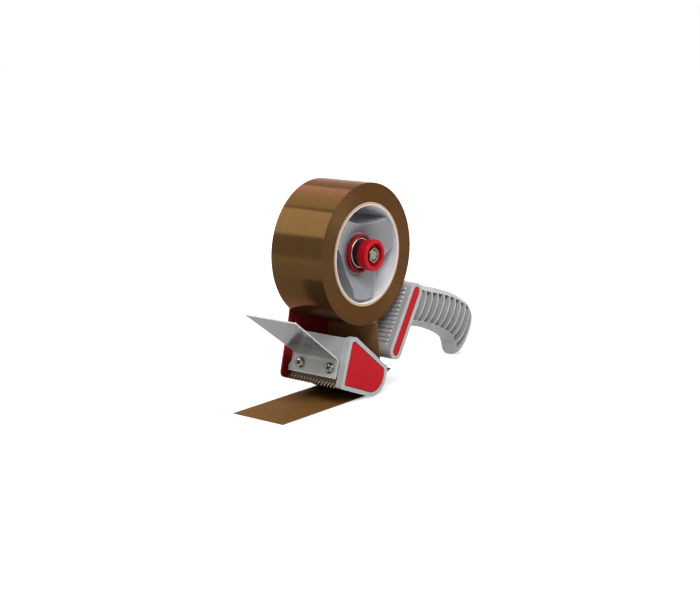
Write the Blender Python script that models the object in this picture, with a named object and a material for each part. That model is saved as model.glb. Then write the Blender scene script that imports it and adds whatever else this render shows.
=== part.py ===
# Hand packing-tape dispenser for 50 mm tape, loaded with one brown roll.
# Metres, +Z up. X runs from the free tape (-X) to the grip (+X), Y across the tape.
# The near side (-Y) has the cheek and the knob, the far side (+Y) the steel side plate.
# Shapes are drawn in a working frame: x = 0 at the roll's axis, y = 0 in the middle of
# the tape, z = 0 on the table. The root empty then moves that frame so that the world
# origin lies at the middle of the part's footprint.
import bpy
import bmesh
import math
from mathutils import Vector

# Fits
GAP = 0.0003            # between two pieces that touch
OVERRUN = 0.002         # how far a cutter runs past the face it cuts
WELD = 0.000001         # points closer than this are one point

# Tape roll
TAPE_WIDTH = 0.050
TAPE_WOUND = 0.0150     # depth of tape wound on the core
ROLL_LIFT = 0.0569      # table to the lowest point of the roll
CORE_BORE_RADIUS = 0.0381
CORE_WALL = 0.0025
CORE_EXTRA = 0.0004     # the card core stands this far out of the roll at each end

# Free tape: film, where it leaves the roll, and where it ends on the table
FILM = 0.0003
PEEL_OFFSET = 0.0119
PEEL_LAP = 0.006
PEEL_BEND = 0.0016
TAIL_REACH = 0.1018

# Pressure roller
ROLLER_RADIUS = 0.0168
ROLLER_BACK = 0.0007    # roller axis in front of the roll axis
SLEEVE_WALL = 0.0035
ROLLER_SHORT = 0.0006   # the roller is shorter than the tape at each end
SLEEVE_EDGE = 0.0008
AXLE_RADIUS = 0.003
AXLE_CLIP_RADIUS = 0.006
AXLE_CLIP_THICKNESS = 0.0012
AXLE_TAIL = 0.0022
AXLE_SEAT = 0.0036       # depth of the blind hole in the cheek

# Steel side plate
PLATE_GAP = 0.0013      # roll face to the plate
PLATE = 0.0015
PLATE_HUB_RADIUS = 0.024
PLATE_PROUD = 0.0042    # stands out in front of the head's face
PLATE_FOOT_RADIUS = 0.005
PLATE_SHOULDER_UP = 0.0461      # shoulder of the front edge, along the head's slope
PLATE_SHOULDER_PROUD = 0.0078
PLATE_SHOULDER_RADIUS = 0.010
PLATE_EDGE = 0.0012     # the plate stays inside the mouldings' edges by this much
PLATE_HEEL_REACH = 0.0075       # the plate reaches this far past the tape stop's pin
PLATE_HEEL_RADIUS = 0.0050

# Head housing: near cheek and front panel in one moulding
CHEEK = 0.0058          # thickness of the cheek
HEAD_FOOT_FRONT = 0.0412
HEAD_FOOT_HEIGHT = 0.0151
HEAD_LEAN = math.radians(18.8)
HEAD_FACE = 0.0388      # length of the front face along its slope
HEAD_TOP = 0.0068       # short flat on top of the cheek
HEAD_BACK_SLOPE = math.radians(-38.7)
CHEEK_ROUND = 0.0170    # round end of the cheek, about the roller's axis
CHEEK_CORNER = 0.0015
CHEEK_RIM = 0.0030
CHEEK_RECESS = 0.0014
INSET = 0.0010          # thickness of the red inset panels
PANEL = 0.0024
PANEL_LOW = 0.0080      # lower edge of the front panel, along the slope
PANEL_LIP = 0.0040      # stiffening lip along the panel's top edge
BOSS_RADIUS = 0.0042
BOSS_LENGTH = 0.012

# Clear flap on the front face, and its screws
FLAP = 0.0010
FLAP_NEAR = 0.0236
FLAP_FAR = 0.0242
FLAP_FLARE_NEAR = 0.0010    # the free edge is wider by this much on each side
FLAP_FLARE_FAR = 0.0016
FLAP_LOW = 0.0065
FLAP_SHOULDER = 0.0112  # the far edge is straight up to here, then draws in
FLAP_NECK = 0.0046      # and at the fold it is drawn in this much
FLAP_FOLD = 0.0212
FLAP_LENGTH = 0.0645
FLAP_RISE = math.radians(37.2)
FLAP_BEND_RADIUS = 0.0050
FLAP_BEND_STEPS = 7
SCREW_UP = 0.0139       # screw height along the slope
SCREW_NEAR = 0.0166
SCREW_FAR = 0.0132
SCREW_HEAD_RADIUS = 0.0036
SCREW_HEAD = 0.0021
SCREW_RADIUS = 0.0015
SCREW_TAIL = 0.0018
# A pan head's edge, as shares of its radius and of its height
PAN_HEAD_SHARES = ((1.0, 0.3), (0.86, 0.74), (0.5, 1.0))

# Serrated blade
BLADE = 0.0006
BLADE_TOP = 0.0190
BLADE_TEETH = 15
BLADE_TOOTH = 0.0031
BLADE_SHORT = 0.0009    # the blade is narrower than the tape at each end

# Beam and grip, one moulding
BEAM_CLEARANCE = 0.0045     # roll surface to the beam's front face
BEAM_THICKNESS = 0.0157
BEAM_LENGTH = 0.0650
BEAM_DROP = 0.0280          # beam middle below the roll's axis, along the beam
BEAM_LEAN = math.radians(58.0)
BEAM_CORNER = 0.0068
BEAM_NEAR = 0.0310          # near end of the beam, from the middle of the tape
BEAM_BAND = 0.0056          # smooth band at the near end
BEAM_GROOVES = 13
BEAM_GROOVE_PITCH = 0.0037
BEAM_GROOVE = 0.0016
BEAM_GROOVE_DEPTH = 0.0008
BEAM_RECESS = 0.0016
BEAM_SLOT_WIDTH = 0.0088
BEAM_SLOT_LENGTH = 0.0600

GRIP_START = 0.0080         # first line across the grip, behind the beam's middle
GRIP_REACH = 0.1373         # and the last one, both at the height of the beam's middle
GRIP_HALF_WIDTH = 0.0140
GRIP_RIB = 0.0013
GRIP_RIBS = 12
GRIP_FIRST_RIB = 0.0159     # placed like the lines across the grip
GRIP_RIB_PITCH = 0.01026
GRIP_POCKETS_END = 0.0056   # last rib to the end of the last pocket
GRIP_WEB = 0.0090           # web left between the pockets
GRIP_BAND = 0.0048          # plain band along the top
GRIP_END_BULGE = 0.0016
# The lines across the grip are evenly spaced and lie parallel to the beam. The heights of
# their two ends are shares of the height of the beam's middle.
GRIP_TOP_SHARES = (1.430, 1.478, 1.416, 1.358, 1.303, 1.252, 1.205, 1.155, 1.094, 1.022, 0.943, 0.855, 0.715)
GRIP_LOW_SHARES = (0.850, 0.812, 0.772, 0.736, 0.702, 0.664, 0.616, 0.554, 0.490, 0.420, 0.335, 0.225, 0.0)
GRIP_WIDTH_SHARES = (1.0, 1.0, 1.0, 1.0, 1.0, 1.0, 1.0, 1.0, 1.0, 1.0, 0.99, 0.97, 0.92)
GRIP_END_SHARE = 0.80       # the rounded end is this much of the last line
GRIP_SQUARE_SHARE = 0.80    # below 1 the oval section is fuller at its corners
GRIP_LOW_BAND_SHARES = (0.21, 0.06)   # lower band as shares of the height, first and last line

# Hub, brake and knob on the spindle
HUB_LOBES = 3
HUB_FIRST_LOBE = math.radians(25.9)
HUB_LOBE_HALF = math.radians(17.6)
HUB_HOLLOW = 0.0230         # least radius between two lobes
HUB_FRONT = 0.0147          # flat seat in the middle of the face, from the middle of the tape
HUB_BORE = 0.0050
# From that seat the face rises towards the lobes' tips: each point is (radius, how far in
# front of the seat). The last one is the far end of the lobes' lead-in.
HUB_FACE = ((0.0165, 0.0), (0.0230, 0.0052), (0.0295, 0.0083), (0.0350, 0.0096), (0.0384, 0.0048))
SPINDLE_RADIUS = 0.0040
SPINDLE_HEAD_RADIUS = 0.0075
SPINDLE_HEAD = 0.0032
SPINDLE_COLLAR_RADIUS = 0.0090
SPINDLE_COLLAR = 0.0016
SPINDLE_TIP = 0.0012        # the spindle ends this far inside the knob's face
FRICTION_WASHER = 0.0008
FRICTION_RADIUS = 0.0135
CUP_RADIUS = 0.0150
CUP_DEPTH = 0.0030
CUP_FLOOR = 0.0013
CUP_WALL = 0.0028
SPRING_RADIUS = 0.0098      # middle of the wire
SPRING_WIRE = 0.0011
SPRING_TURNS = 2.25
SPRING_CURL_POINTS = 10
SPRING_LENGTH = 0.0050
THRUST_RADIUS = 0.0112
THRUST_WASHER = 0.0010
KNOB_RADIUS = 0.0125
KNOB_LENGTH = 0.0084
KNOB_RECESS_RADIUS = 0.0074
KNOB_RECESS = 0.0042
KNOB_ROUND = 0.0016
KNOB_BORE = 0.0050
NUT_ACROSS = 0.0108
NUT = 0.0032
NUT_BORE = 0.0043

# Tape stop behind the web: keeps the cut end from falling back onto the roll
STOP_BEHIND = 0.0218        # pin axis behind the roll's axis
STOP_HEIGHT = 0.0150
STOP_PIN_RADIUS = 0.0015
STOP_EYE_RADIUS = 0.0034
STOP_LIP_RISE = 0.0105
STOP_LIP_FRONT = 0.0056
STOP_LIP = 0.0009
STOP_TAIL_REACH = 0.0099
STOP_TAIL_DROP = 0.0001
STOP_BARB_REACH = 0.0047
STOP_BARB_RISE = 0.0038
STOP_NOTCH_REACH = 0.0033
STOP_NOTCH_RISE = 0.0024
STOP_NEAR = 0.0240
STOP_FAR = 0.0180
STOP_FINGERS = 5
STOP_FINGER_GAP = 0.0028
STOP_HEAD_RADIUS = 0.0030
STOP_HEAD = 0.0012
STOP_SPRING_RADIUS = 0.0026
STOP_SPRING_WIRE = 0.0006
STOP_SPRING_TURNS = 4.0
STOP_SPRING_POINTS = 8
STOP_SPRING_LEG = 0.0040

# Screws through the side plate into the two mouldings
PLATE_SCREW_RADIUS = 0.0020
PLATE_SCREW_HEAD_RADIUS = 0.0038
PLATE_SCREW_HEAD = 0.0020
PLATE_SCREW_DEPTH = 0.0090
BEAM_SCREW_SPACING = 0.0330
HEAD_SCREW_LOW = 0.0165     # along the slope, and this far behind the panel's face
HEAD_SCREW_HIGH = 0.0330

# Facets
ROLL_SIDES = 72
ROUND_SIDES = 32
SMALL_SIDES = 16
ARC_STEPS = 6
GRIP_SIDES = 20
SHARP = math.radians(35.0)
SHARPEST_CORNER = 0.3       # least slant that an outline's corner is moved in by

# Worked out from the sizes above
HALF_TAPE = TAPE_WIDTH / 2
CORE_RADIUS = CORE_BORE_RADIUS + CORE_WALL
ROLL_RADIUS = CORE_RADIUS + TAPE_WOUND
AXIS_HEIGHT = ROLL_LIFT + ROLL_RADIUS
ROLL_AXIS = (0.0, AXIS_HEIGHT)
ROLLER_AXIS = (-ROLLER_BACK, FILM + GAP + ROLLER_RADIUS)
STOP_AXIS = (STOP_BEHIND, STOP_HEIGHT)
PLATE_NEAR = HALF_TAPE + PLATE_GAP
PLATE_FAR = PLATE_NEAR + PLATE
CHEEK_INNER = HALF_TAPE + GAP
CHEEK_OUTER = CHEEK_INNER + CHEEK
MOULDING_FAR = PLATE_NEAR - GAP
BEAM_ALONG = Vector((math.cos(BEAM_LEAN), math.sin(BEAM_LEAN)))
BEAM_ACROSS = Vector((math.sin(BEAM_LEAN), -math.cos(BEAM_LEAN)))
BEAM_MIDDLE = (Vector(ROLL_AXIS) - BEAM_ALONG * BEAM_DROP
               + BEAM_ACROSS * (ROLL_RADIUS + BEAM_CLEARANCE + BEAM_THICKNESS / 2))
FACE_UP = Vector((math.sin(HEAD_LEAN), math.cos(HEAD_LEAN)))
FACE_OUT = Vector((-math.cos(HEAD_LEAN), math.sin(HEAD_LEAN)))
FACE_FOOT = Vector((-HEAD_FOOT_FRONT, HEAD_FOOT_HEIGHT))
BLADE_FRONT = -FLAP - GAP
BLADE_BACK = BLADE_FRONT - BLADE
PANEL_FRONT = BLADE_BACK - GAP
PANEL_BACK = PANEL_FRONT - PANEL
# Stack on the spindle, going out from the hub's face towards the near side
CUP_BACK = HUB_FRONT + GAP + FRICTION_WASHER + GAP
CUP_SEAT = CUP_BACK + CUP_FLOOR
SPRING_BACK = CUP_SEAT + GAP
SPRING_OUT = SPRING_BACK + SPRING_LENGTH
WASHER_BACK = SPRING_OUT + GAP
KNOB_BACK = WASHER_BACK + THRUST_WASHER + GAP
KNOB_FACE = KNOB_BACK + KNOB_LENGTH
KNOB_SEAT = KNOB_FACE - KNOB_RECESS
SPINDLE_FAR = PLATE_FAR + GAP + SPINDLE_HEAD
GRIP_OVERHANG = BEAM_MIDDLE.y * (GRIP_TOP_SHARES[-1] - 1) / math.tan(BEAM_LEAN)
PART_BACK = BEAM_MIDDLE.x + GRIP_REACH + GRIP_OVERHANG
ORIGIN_SHIFT = ((TAIL_REACH - PART_BACK) / 2, (KNOB_FACE - SPINDLE_FAR) / 2, 0.0)


def clear_scene():
    for old in list(bpy.data.objects):
        bpy.data.objects.remove(old, do_unlink=True)


def material(name, colour, roughness, metallic=0.0, alpha=1.0):
    made = bpy.data.materials.new(name)
    made.use_nodes = True
    shader = made.node_tree.nodes["Principled BSDF"]
    shader.inputs["Base Color"].default_value = (*colour, 1.0)
    shader.inputs["Roughness"].default_value = roughness
    shader.inputs["Metallic"].default_value = metallic
    shader.inputs["Alpha"].default_value = alpha
    made.diffuse_color = (*colour, alpha)
    return made


def empty(name, place, parent=None):
    made = bpy.data.objects.new(name, None)
    made.empty_display_size = AXLE_RADIUS
    made.location = place
    made.parent = parent
    bpy.context.collection.objects.link(made)
    return made


# A carrier is an empty on an axis, and everything it carries is parented to it.
def carrier(name, axis, root):
    return empty(name, (axis[0], 0.0, axis[1]), root)


def add(name, mesh, finish, parent):
    made = bpy.data.objects.new(name, mesh)
    mesh.materials.append(finish)
    made.parent = parent
    if parent.parent:
        mesh.transform(parent.matrix_basis.inverted())
    mesh.shade_smooth()
    mesh.set_sharp_from_angle(angle=SHARP)
    bpy.context.collection.objects.link(made)
    return made


def to_mesh(name, bm):
    bmesh.ops.remove_doubles(bm, verts=bm.verts, dist=WELD)
    bmesh.ops.recalc_face_normals(bm, faces=bm.faces)
    mesh = bpy.data.meshes.new(name)
    bm.to_mesh(mesh)
    bm.free()
    return mesh


def arc(centre, radius, start, end, steps=ARC_STEPS):
    turn = (end - start) / steps
    return [Vector((centre[0] + radius * math.cos(start + turn * i),
                    centre[1] + radius * math.sin(start + turn * i))) for i in range(steps + 1)]


# An outline whose corners (x, z, radius) are rounded. An open one keeps its two ends.
def rounded(corners, closed=True, steps=ARC_STEPS):
    points = []
    count = len(corners)
    for i, (x, z, radius) in enumerate(corners):
        here = Vector((x, z))
        if radius == 0 or (not closed and i in (0, count - 1)):
            points.append(here)
            continue
        before = (Vector(corners[i - 1][:2]) - here).normalized()
        after = (Vector(corners[(i + 1) % count][:2]) - here).normalized()
        half = before.angle(after) / 2
        centre = here + (before + after).normalized() * (radius / math.sin(half))
        first = here + before * (radius / math.tan(half)) - centre
        last = here + after * (radius / math.tan(half)) - centre
        start = math.atan2(first.y, first.x)
        turn = (math.atan2(last.y, last.x) - start + math.pi) % math.tau - math.pi
        points += arc(centre, radius, start, start + turn, steps)
    return points


# The outline moved inwards by a distance; the outline runs counterclockwise.
def shrunk(points, distance):
    moved = []
    for i, here in enumerate(points):
        before = (here - points[i - 1]).normalized()
        after = (points[(i + 1) % len(points)] - here).normalized()
        inward = Vector((-before.y - after.y, before.x + after.x)).normalized()
        slant = max(SHARPEST_CORNER, inward.dot(Vector((-before.y, before.x))))
        moved.append(here + inward * (distance / slant))
    return moved


def face_point(up, out):
    return FACE_FOOT + FACE_UP * up + FACE_OUT * out


def beam_point(along, across):
    return BEAM_MIDDLE + BEAM_ALONG * along + BEAM_ACROSS * across


def prism_mesh(name, outlines, near, far):
    bm = bmesh.new()
    for outline in outlines:
        rings = [[bm.verts.new((p[0], y, p[1])) for p in outline] for y in (near, far)]
        bm.faces.new(rings[0])
        bm.faces.new(rings[1])
        for i in range(len(outline)):
            bm.faces.new((rings[0][i - 1], rings[0][i], rings[1][i], rings[1][i - 1]))
    return to_mesh(name, bm)


def prism(name, outline, near, far, finish, parent):
    return add(name, prism_mesh(name, [outline], near, far), finish, parent)


# Turned about an axis along Y. Profile points are (radius, y); a closed profile that
# stays off the axis makes a ring, and one that starts and ends on it makes a solid.
def turned_mesh(name, profiles, axes, sides):
    bm = bmesh.new()
    for profile, axis in zip(profiles, axes):
        verts = [bm.verts.new((axis[0] + r, y, axis[1])) for r, y in profile]
        edges = [bm.edges.new((verts[i - 1], verts[i])) for i in range(1, len(verts))]
        if profile[0][0] > 0:
            edges.append(bm.edges.new((verts[-1], verts[0])))
        bmesh.ops.spin(bm, geom=verts + edges, cent=(axis[0], 0.0, axis[1]), axis=(0.0, 1.0, 0.0),
                       angle=math.tau, steps=sides, use_merge=True)
    return to_mesh(name, bm)


def turned(name, profile, axis, sides, finish, parent):
    return add(name, turned_mesh(name, [profile], [axis], sides), finish, parent)


def pin_profile(radius, near, far):
    return [(0.0, near), (radius, near), (radius, far), (0.0, far)]


def ring_profile(inner, outer, near, far):
    return [(inner, near), (outer, near), (outer, far), (inner, far)]


def hide_cutter(cutter):
    cutter.hide_render = True
    cutter.display_type = "WIRE"


def boolean(target, name, mesh, finish, operation="DIFFERENCE"):
    tool = bpy.data.objects.new(name, mesh)
    mesh.materials.append(finish)
    tool.parent = target.parent
    if target.parent.parent:
        mesh.transform(target.parent.matrix_basis.inverted())
    bpy.context.collection.objects.link(tool)
    hide_cutter(tool)
    step = target.modifiers.new(name, "BOOLEAN")
    step.operation = operation
    step.object = tool
    return tool


# Round holes along Y, as one cutter: each hole is (axis, radius, near, far).
def drill(target, name, holes, finish, sides=SMALL_SIDES):
    profiles = [pin_profile(radius, near, far) for axis, radius, near, far in holes]
    boolean(target, name, turned_mesh(name, profiles, [hole[0] for hole in holes], sides), finish)


# Round pins square to the front face: each is (y, up, [(radius, out), ...]).
def face_pins_mesh(name, pins, sides=SMALL_SIDES):
    bm = bmesh.new()
    for y, up, profile in pins:
        rings = []
        for radius, out in profile:
            middle = face_point(up, out)
            ring = []
            for i in range(sides):
                turn = math.tau * i / sides
                rise = FACE_UP * (radius * math.sin(turn))
                ring.append(bm.verts.new((middle.x + rise.x, y + radius * math.cos(turn), middle.y + rise.y)))
            rings.append(ring)
        bm.faces.new(rings[0])
        bm.faces.new(rings[-1])
        for low, high in zip(rings, rings[1:]):
            for i in range(sides):
                bm.faces.new((low[i - 1], low[i], high[i], high[i - 1]))
    return to_mesh(name, bm)


# A sheet flat on the front face, drawn as (y, up) points, between two depths.
def face_sheet_mesh(name, outline, out, back):
    bm = bmesh.new()
    rings = []
    for depth in (out, back):
        places = [(face_point(up, depth), y) for y, up in outline]
        rings.append([bm.verts.new((p.x, y, p.y)) for p, y in places])
    bm.faces.new(rings[0])
    bm.faces.new(rings[1])
    for i in range(len(outline)):
        bm.faces.new((rings[0][i - 1], rings[0][i], rings[1][i], rings[1][i - 1]))
    return to_mesh(name, bm)


# A sheet that follows a path in X and Z: rows of (point, near y, far y), thickness to the
# left of the path.
def ribbon_mesh(name, rows, thickness):
    bm = bmesh.new()
    rings = []
    for i, (point, near, far) in enumerate(rows):
        before = rows[max(i - 1, 0)][0]
        after = rows[min(i + 1, len(rows) - 1)][0]
        a = (point - before).normalized() if i > 0 else (after - point).normalized()
        b = (after - point).normalized() if i < len(rows) - 1 else a
        side = Vector((-a.y - b.y, a.x + b.x)).normalized()
        other = point + side * (thickness / side.dot(Vector((-a.y, a.x))))
        rings.append([bm.verts.new(v) for v in (
            (point.x, near, point.y), (point.x, far, point.y),
            (other.x, far, other.y), (other.x, near, other.y))])
    bm.faces.new(rings[0])
    bm.faces.new(rings[-1])
    for low, high in zip(rings, rings[1:]):
        for i in range(len(low)):
            bm.faces.new((low[i - 1], low[i], high[i], high[i - 1]))
    return to_mesh(name, bm)


def spring_gap(points, curl_points, wire):
    least = None
    for i, a in enumerate(points):
        for b in points[i + curl_points // 2:]:
            if least is None or (a - b).length < least:
                least = (a - b).length
    return least - wire


def wire_curve(name, points, wire, finish, parent):
    curve = bpy.data.curves.new(name, "CURVE")
    curve.dimensions = "3D"
    curve.bevel_depth = wire / 2
    curve.bevel_resolution = 1
    curve.use_fill_caps = True
    line = curve.splines.new("POLY")
    line.points.add(len(points) - 1)
    shift = parent.matrix_basis.inverted() if parent.parent else None
    for spot, point in zip(line.points, points):
        place = shift @ point if shift else point
        spot.co = (*place, 1.0)
    made = bpy.data.objects.new(name, curve)
    curve.materials.append(finish)
    made.parent = parent
    bpy.context.collection.objects.link(made)
    return made


# A coil about an axis along Y, from one y to another.
def coil_points(axis, radius, turns, curl_points, start, end):
    count = round(turns * curl_points)
    points = []
    for i in range(count + 1):
        turn = math.tau * i / curl_points
        points.append(Vector((axis[0] + radius * math.cos(turn), start + (end - start) * i / count,
                              axis[1] + radius * math.sin(turn))))
    return points


def make_tape_roll(parent, finish):
    profile = ring_profile(CORE_RADIUS + GAP, ROLL_RADIUS, -HALF_TAPE, HALF_TAPE)
    return turned("tape_roll", profile, ROLL_AXIS, ROLL_SIDES, finish, parent)


def make_roll_core(parent, finish):
    half = HALF_TAPE + CORE_EXTRA
    profile = ring_profile(CORE_BORE_RADIUS, CORE_RADIUS, -half, half)
    return turned("roll_core", profile, ROLL_AXIS, ROLL_SIDES, finish, parent)


def hub_outline():
    radius = CORE_BORE_RADIUS - GAP
    step = math.tau / HUB_LOBES
    points = []
    for lobe in range(HUB_LOBES):
        middle = HUB_FIRST_LOBE + step * lobe
        points += arc(ROLL_AXIS, radius, middle - HUB_LOBE_HALF, middle + HUB_LOBE_HALF)
        start = points[-1]
        between = middle + step / 2
        end = Vector(ROLL_AXIS) + Vector((math.cos(middle + step - HUB_LOBE_HALF),
                                          math.sin(middle + step - HUB_LOBE_HALF))) * radius
        outward = Vector((math.cos(between), math.sin(between)))
        dip = radius * math.cos(step / 2 - HUB_LOBE_HALF) - HUB_HOLLOW
        for i in range(1, ARC_STEPS):
            share = i / ARC_STEPS
            points.append(start.lerp(end, share) - outward * (dip * 4 * share * (1 - share)))
    return points


def make_core_hub(parent, finish):
    far = PLATE_NEAR - GAP - SPINDLE_COLLAR - GAP
    tip = max(rise for radius, rise in HUB_FACE)
    hub = prism("core_hub", hub_outline(), -HUB_FRONT - tip - OVERRUN, far, finish, parent)
    face = [(radius, -HUB_FRONT - rise) for radius, rise in HUB_FACE]
    envelope = [(0.0, -HUB_FRONT), *face, (HUB_FACE[-1][0], far + OVERRUN), (0.0, far + OVERRUN)]
    boolean(hub, "hub_face_form", turned_mesh("hub_face_form", [envelope], [ROLL_AXIS], ROLL_SIDES), finish,
            "INTERSECT")
    drill(hub, "hub_bore_cutter", [(ROLL_AXIS, HUB_BORE, -HUB_FRONT - OVERRUN, far + OVERRUN)], finish,
          ROUND_SIDES)
    return hub


def make_spindle(parent, finish):
    inner = PLATE_NEAR - GAP
    profile = [(0.0, SPINDLE_TIP - KNOB_FACE), (SPINDLE_RADIUS, SPINDLE_TIP - KNOB_FACE),
               (SPINDLE_RADIUS, inner - SPINDLE_COLLAR), (SPINDLE_COLLAR_RADIUS, inner - SPINDLE_COLLAR),
               (SPINDLE_COLLAR_RADIUS, inner), (SPINDLE_RADIUS, inner), (SPINDLE_RADIUS, PLATE_FAR + GAP),
               (SPINDLE_HEAD_RADIUS, PLATE_FAR + GAP), (SPINDLE_HEAD_RADIUS, SPINDLE_FAR), (0.0, SPINDLE_FAR)]
    return turned("hub_spindle", profile, ROLL_AXIS, ROUND_SIDES, finish, parent)


def make_friction_washer(parent, finish):
    back = HUB_FRONT + GAP
    profile = ring_profile(SPINDLE_RADIUS + GAP, FRICTION_RADIUS, -back - FRICTION_WASHER, -back)
    return turned("friction_washer", profile, ROLL_AXIS, ROUND_SIDES, finish, parent)


def make_brake_cup(parent, finish):
    bore = SPINDLE_RADIUS + GAP
    rim = -CUP_BACK - CUP_DEPTH
    profile = [(bore, -CUP_BACK), (CUP_RADIUS, -CUP_BACK), (CUP_RADIUS, rim), (CUP_RADIUS - CUP_WALL, rim),
               (CUP_RADIUS - CUP_WALL, -CUP_SEAT), (bore, -CUP_SEAT)]
    return turned("brake_cup", profile, ROLL_AXIS, ROUND_SIDES, finish, parent)


def make_tension_spring(parent, finish):
    half = SPRING_WIRE / 2
    points = coil_points(ROLL_AXIS, SPRING_RADIUS, SPRING_TURNS, SPRING_CURL_POINTS,
                         -SPRING_BACK - half, -SPRING_OUT + half)
    print("tension_spring least gap to itself, mm:",
          round(1000 * spring_gap(points, SPRING_CURL_POINTS, SPRING_WIRE), 3))
    return wire_curve("tension_spring", points, SPRING_WIRE, finish, parent)


def make_thrust_washer(parent, finish):
    profile = ring_profile(SPINDLE_RADIUS + GAP, THRUST_RADIUS, -WASHER_BACK - THRUST_WASHER, -WASHER_BACK)
    return turned("thrust_washer", profile, ROLL_AXIS, ROUND_SIDES, finish, parent)


def make_tension_knob(parent, finish):
    edge = arc((KNOB_RADIUS - KNOB_ROUND, -KNOB_FACE + KNOB_ROUND), KNOB_ROUND, 0.0, -math.pi / 2)
    profile = [(KNOB_BORE, -KNOB_BACK), (KNOB_RADIUS, -KNOB_BACK), *[(p.x, p.y) for p in edge],
               (KNOB_RECESS_RADIUS, -KNOB_FACE), (KNOB_RECESS_RADIUS, -KNOB_SEAT), (KNOB_BORE, -KNOB_SEAT)]
    return turned("tension_knob", profile, ROLL_AXIS, ROUND_SIDES, finish, parent)


def make_knob_nut(parent, finish):
    corner = NUT_ACROSS / 2 / math.cos(math.pi / 6)
    outline = arc(ROLL_AXIS, corner, 0.0, math.tau, 6)[:-1]
    back = KNOB_SEAT + GAP
    nut = prism("knob_nut", outline, -back - NUT, -back, finish, parent)
    drill(nut, "nut_bore_cutter", [(ROLL_AXIS, NUT_BORE, -back - NUT - OVERRUN, -back + OVERRUN)], finish)
    return nut


def make_roller_sleeve(parent, finish):
    half = HALF_TAPE - ROLLER_SHORT
    inner = ROLLER_RADIUS - SLEEVE_WALL
    edge = ROLLER_RADIUS - SLEEVE_EDGE
    profile = [(inner, -half), (edge, -half), (ROLLER_RADIUS, SLEEVE_EDGE - half),
               (ROLLER_RADIUS, half - SLEEVE_EDGE), (edge, half), (inner, half)]
    return turned("roller_sleeve", profile, ROLLER_AXIS, ROUND_SIDES, finish, parent)


def make_roller_core(parent, finish):
    half = HALF_TAPE - ROLLER_SHORT
    profile = ring_profile(AXLE_RADIUS + GAP, ROLLER_RADIUS - SLEEVE_WALL - GAP, -half, half)
    return turned("roller_core", profile, ROLLER_AXIS, ROUND_SIDES, finish, parent)


def make_roller_axle(parent, finish):
    profile = pin_profile(AXLE_RADIUS, -CHEEK_INNER - AXLE_SEAT + GAP, PLATE_FAR + AXLE_TAIL)
    return turned("roller_axle", profile, ROLLER_AXIS, SMALL_SIDES, finish, parent)


def make_axle_clip(parent, finish):
    near = PLATE_FAR + GAP
    profile = ring_profile(AXLE_RADIUS + GAP, AXLE_CLIP_RADIUS, near, near + AXLE_CLIP_THICKNESS)
    return turned("axle_clip", profile, ROLLER_AXIS, SMALL_SIDES, finish, parent)


# Where a line from a point touches a circle, as an angle on the circle.
def touch_angle(point, centre, radius, side):
    away = Vector(point) - Vector(centre)
    turn = math.atan2(away.y, away.x) + side * math.acos(radius / away.length)
    return (turn + math.pi) % math.tau - math.pi


# The cheek's outline, moved inwards by an inset before its corners are rounded.
def cheek_outline(inset=0.0):
    axis = Vector(ROLLER_AXIS)
    top_front = face_point(HEAD_FACE, 0.0)
    top_back = top_front + Vector((HEAD_TOP, 0.0))
    slope = Vector((math.cos(HEAD_BACK_SLOPE), math.sin(HEAD_BACK_SLOPE)))
    along = (axis - top_back).dot(slope)
    off = (axis - top_back - slope * along).length
    meet = top_back + slope * (along + math.sqrt(CHEEK_ROUND ** 2 - off ** 2)) - axis
    first = touch_angle(FACE_FOOT, axis, CHEEK_ROUND, 1)
    last = math.atan2(meet.y, meet.x)
    heel = arc(axis, CHEEK_ROUND, first, last, 2 * ARC_STEPS)
    points = shrunk([FACE_FOOT, *heel, top_back, top_front], inset)
    radii = [CHEEK_CORNER] + [0.0] * len(heel) + [CHEEK_CORNER, CHEEK_CORNER]
    return rounded([(p.x, p.y, r) for p, r in zip(points, radii)], steps=ARC_STEPS // 2)


def screw_places():
    beam = [beam_point(side * BEAM_SCREW_SPACING / 2, 0.0) for side in (-1, 1)]
    head = [face_point(up, PANEL_BACK - BOSS_RADIUS / 2) for up in (HEAD_SCREW_LOW, HEAD_SCREW_HIGH)]
    return beam, head


def make_head_housing(parent, finish):
    outline = cheek_outline()
    head = prism("head_housing", outline, -CHEEK_OUTER, -CHEEK_INNER, finish, parent)
    panel = [face_point(PANEL_LOW, PANEL_FRONT), face_point(PANEL_LOW, PANEL_BACK),
             face_point(HEAD_FACE - PANEL, PANEL_BACK), face_point(HEAD_FACE - PANEL, PANEL_BACK - PANEL_LIP),
             face_point(HEAD_FACE, PANEL_BACK - PANEL_LIP), face_point(HEAD_FACE, PANEL_FRONT)]
    boolean(head, "panel_form", prism_mesh("panel_form", [panel], -CHEEK_INNER - CHEEK / 2, MOULDING_FAR),
            finish, "UNION")
    beam, bosses = screw_places()
    boss_near = MOULDING_FAR - BOSS_LENGTH
    boss_mesh = turned_mesh("boss_form", [pin_profile(BOSS_RADIUS, boss_near, MOULDING_FAR)] * len(bosses),
                            bosses, SMALL_SIDES)
    boolean(head, "boss_form", boss_mesh, finish, "UNION")
    recess = prism_mesh("cheek_recess_cutter", [cheek_outline(CHEEK_RIM)],
                        -CHEEK_OUTER - OVERRUN, -CHEEK_OUTER + CHEEK_RECESS)
    boolean(head, "cheek_recess_cutter", recess, finish)
    hole = PLATE_SCREW_RADIUS + GAP
    holes = [(ROLLER_AXIS, AXLE_RADIUS + GAP, -CHEEK_INNER - AXLE_SEAT, -CHEEK_INNER + OVERRUN)]
    holes += [(place, hole, MOULDING_FAR - PLATE_SCREW_DEPTH, MOULDING_FAR + OVERRUN) for place in bosses]
    drill(head, "head_hole_cutter", holes, finish)
    drill_face(head, "panel_hole_cutter", PANEL_BACK, PANEL_FRONT, finish)
    return head


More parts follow.
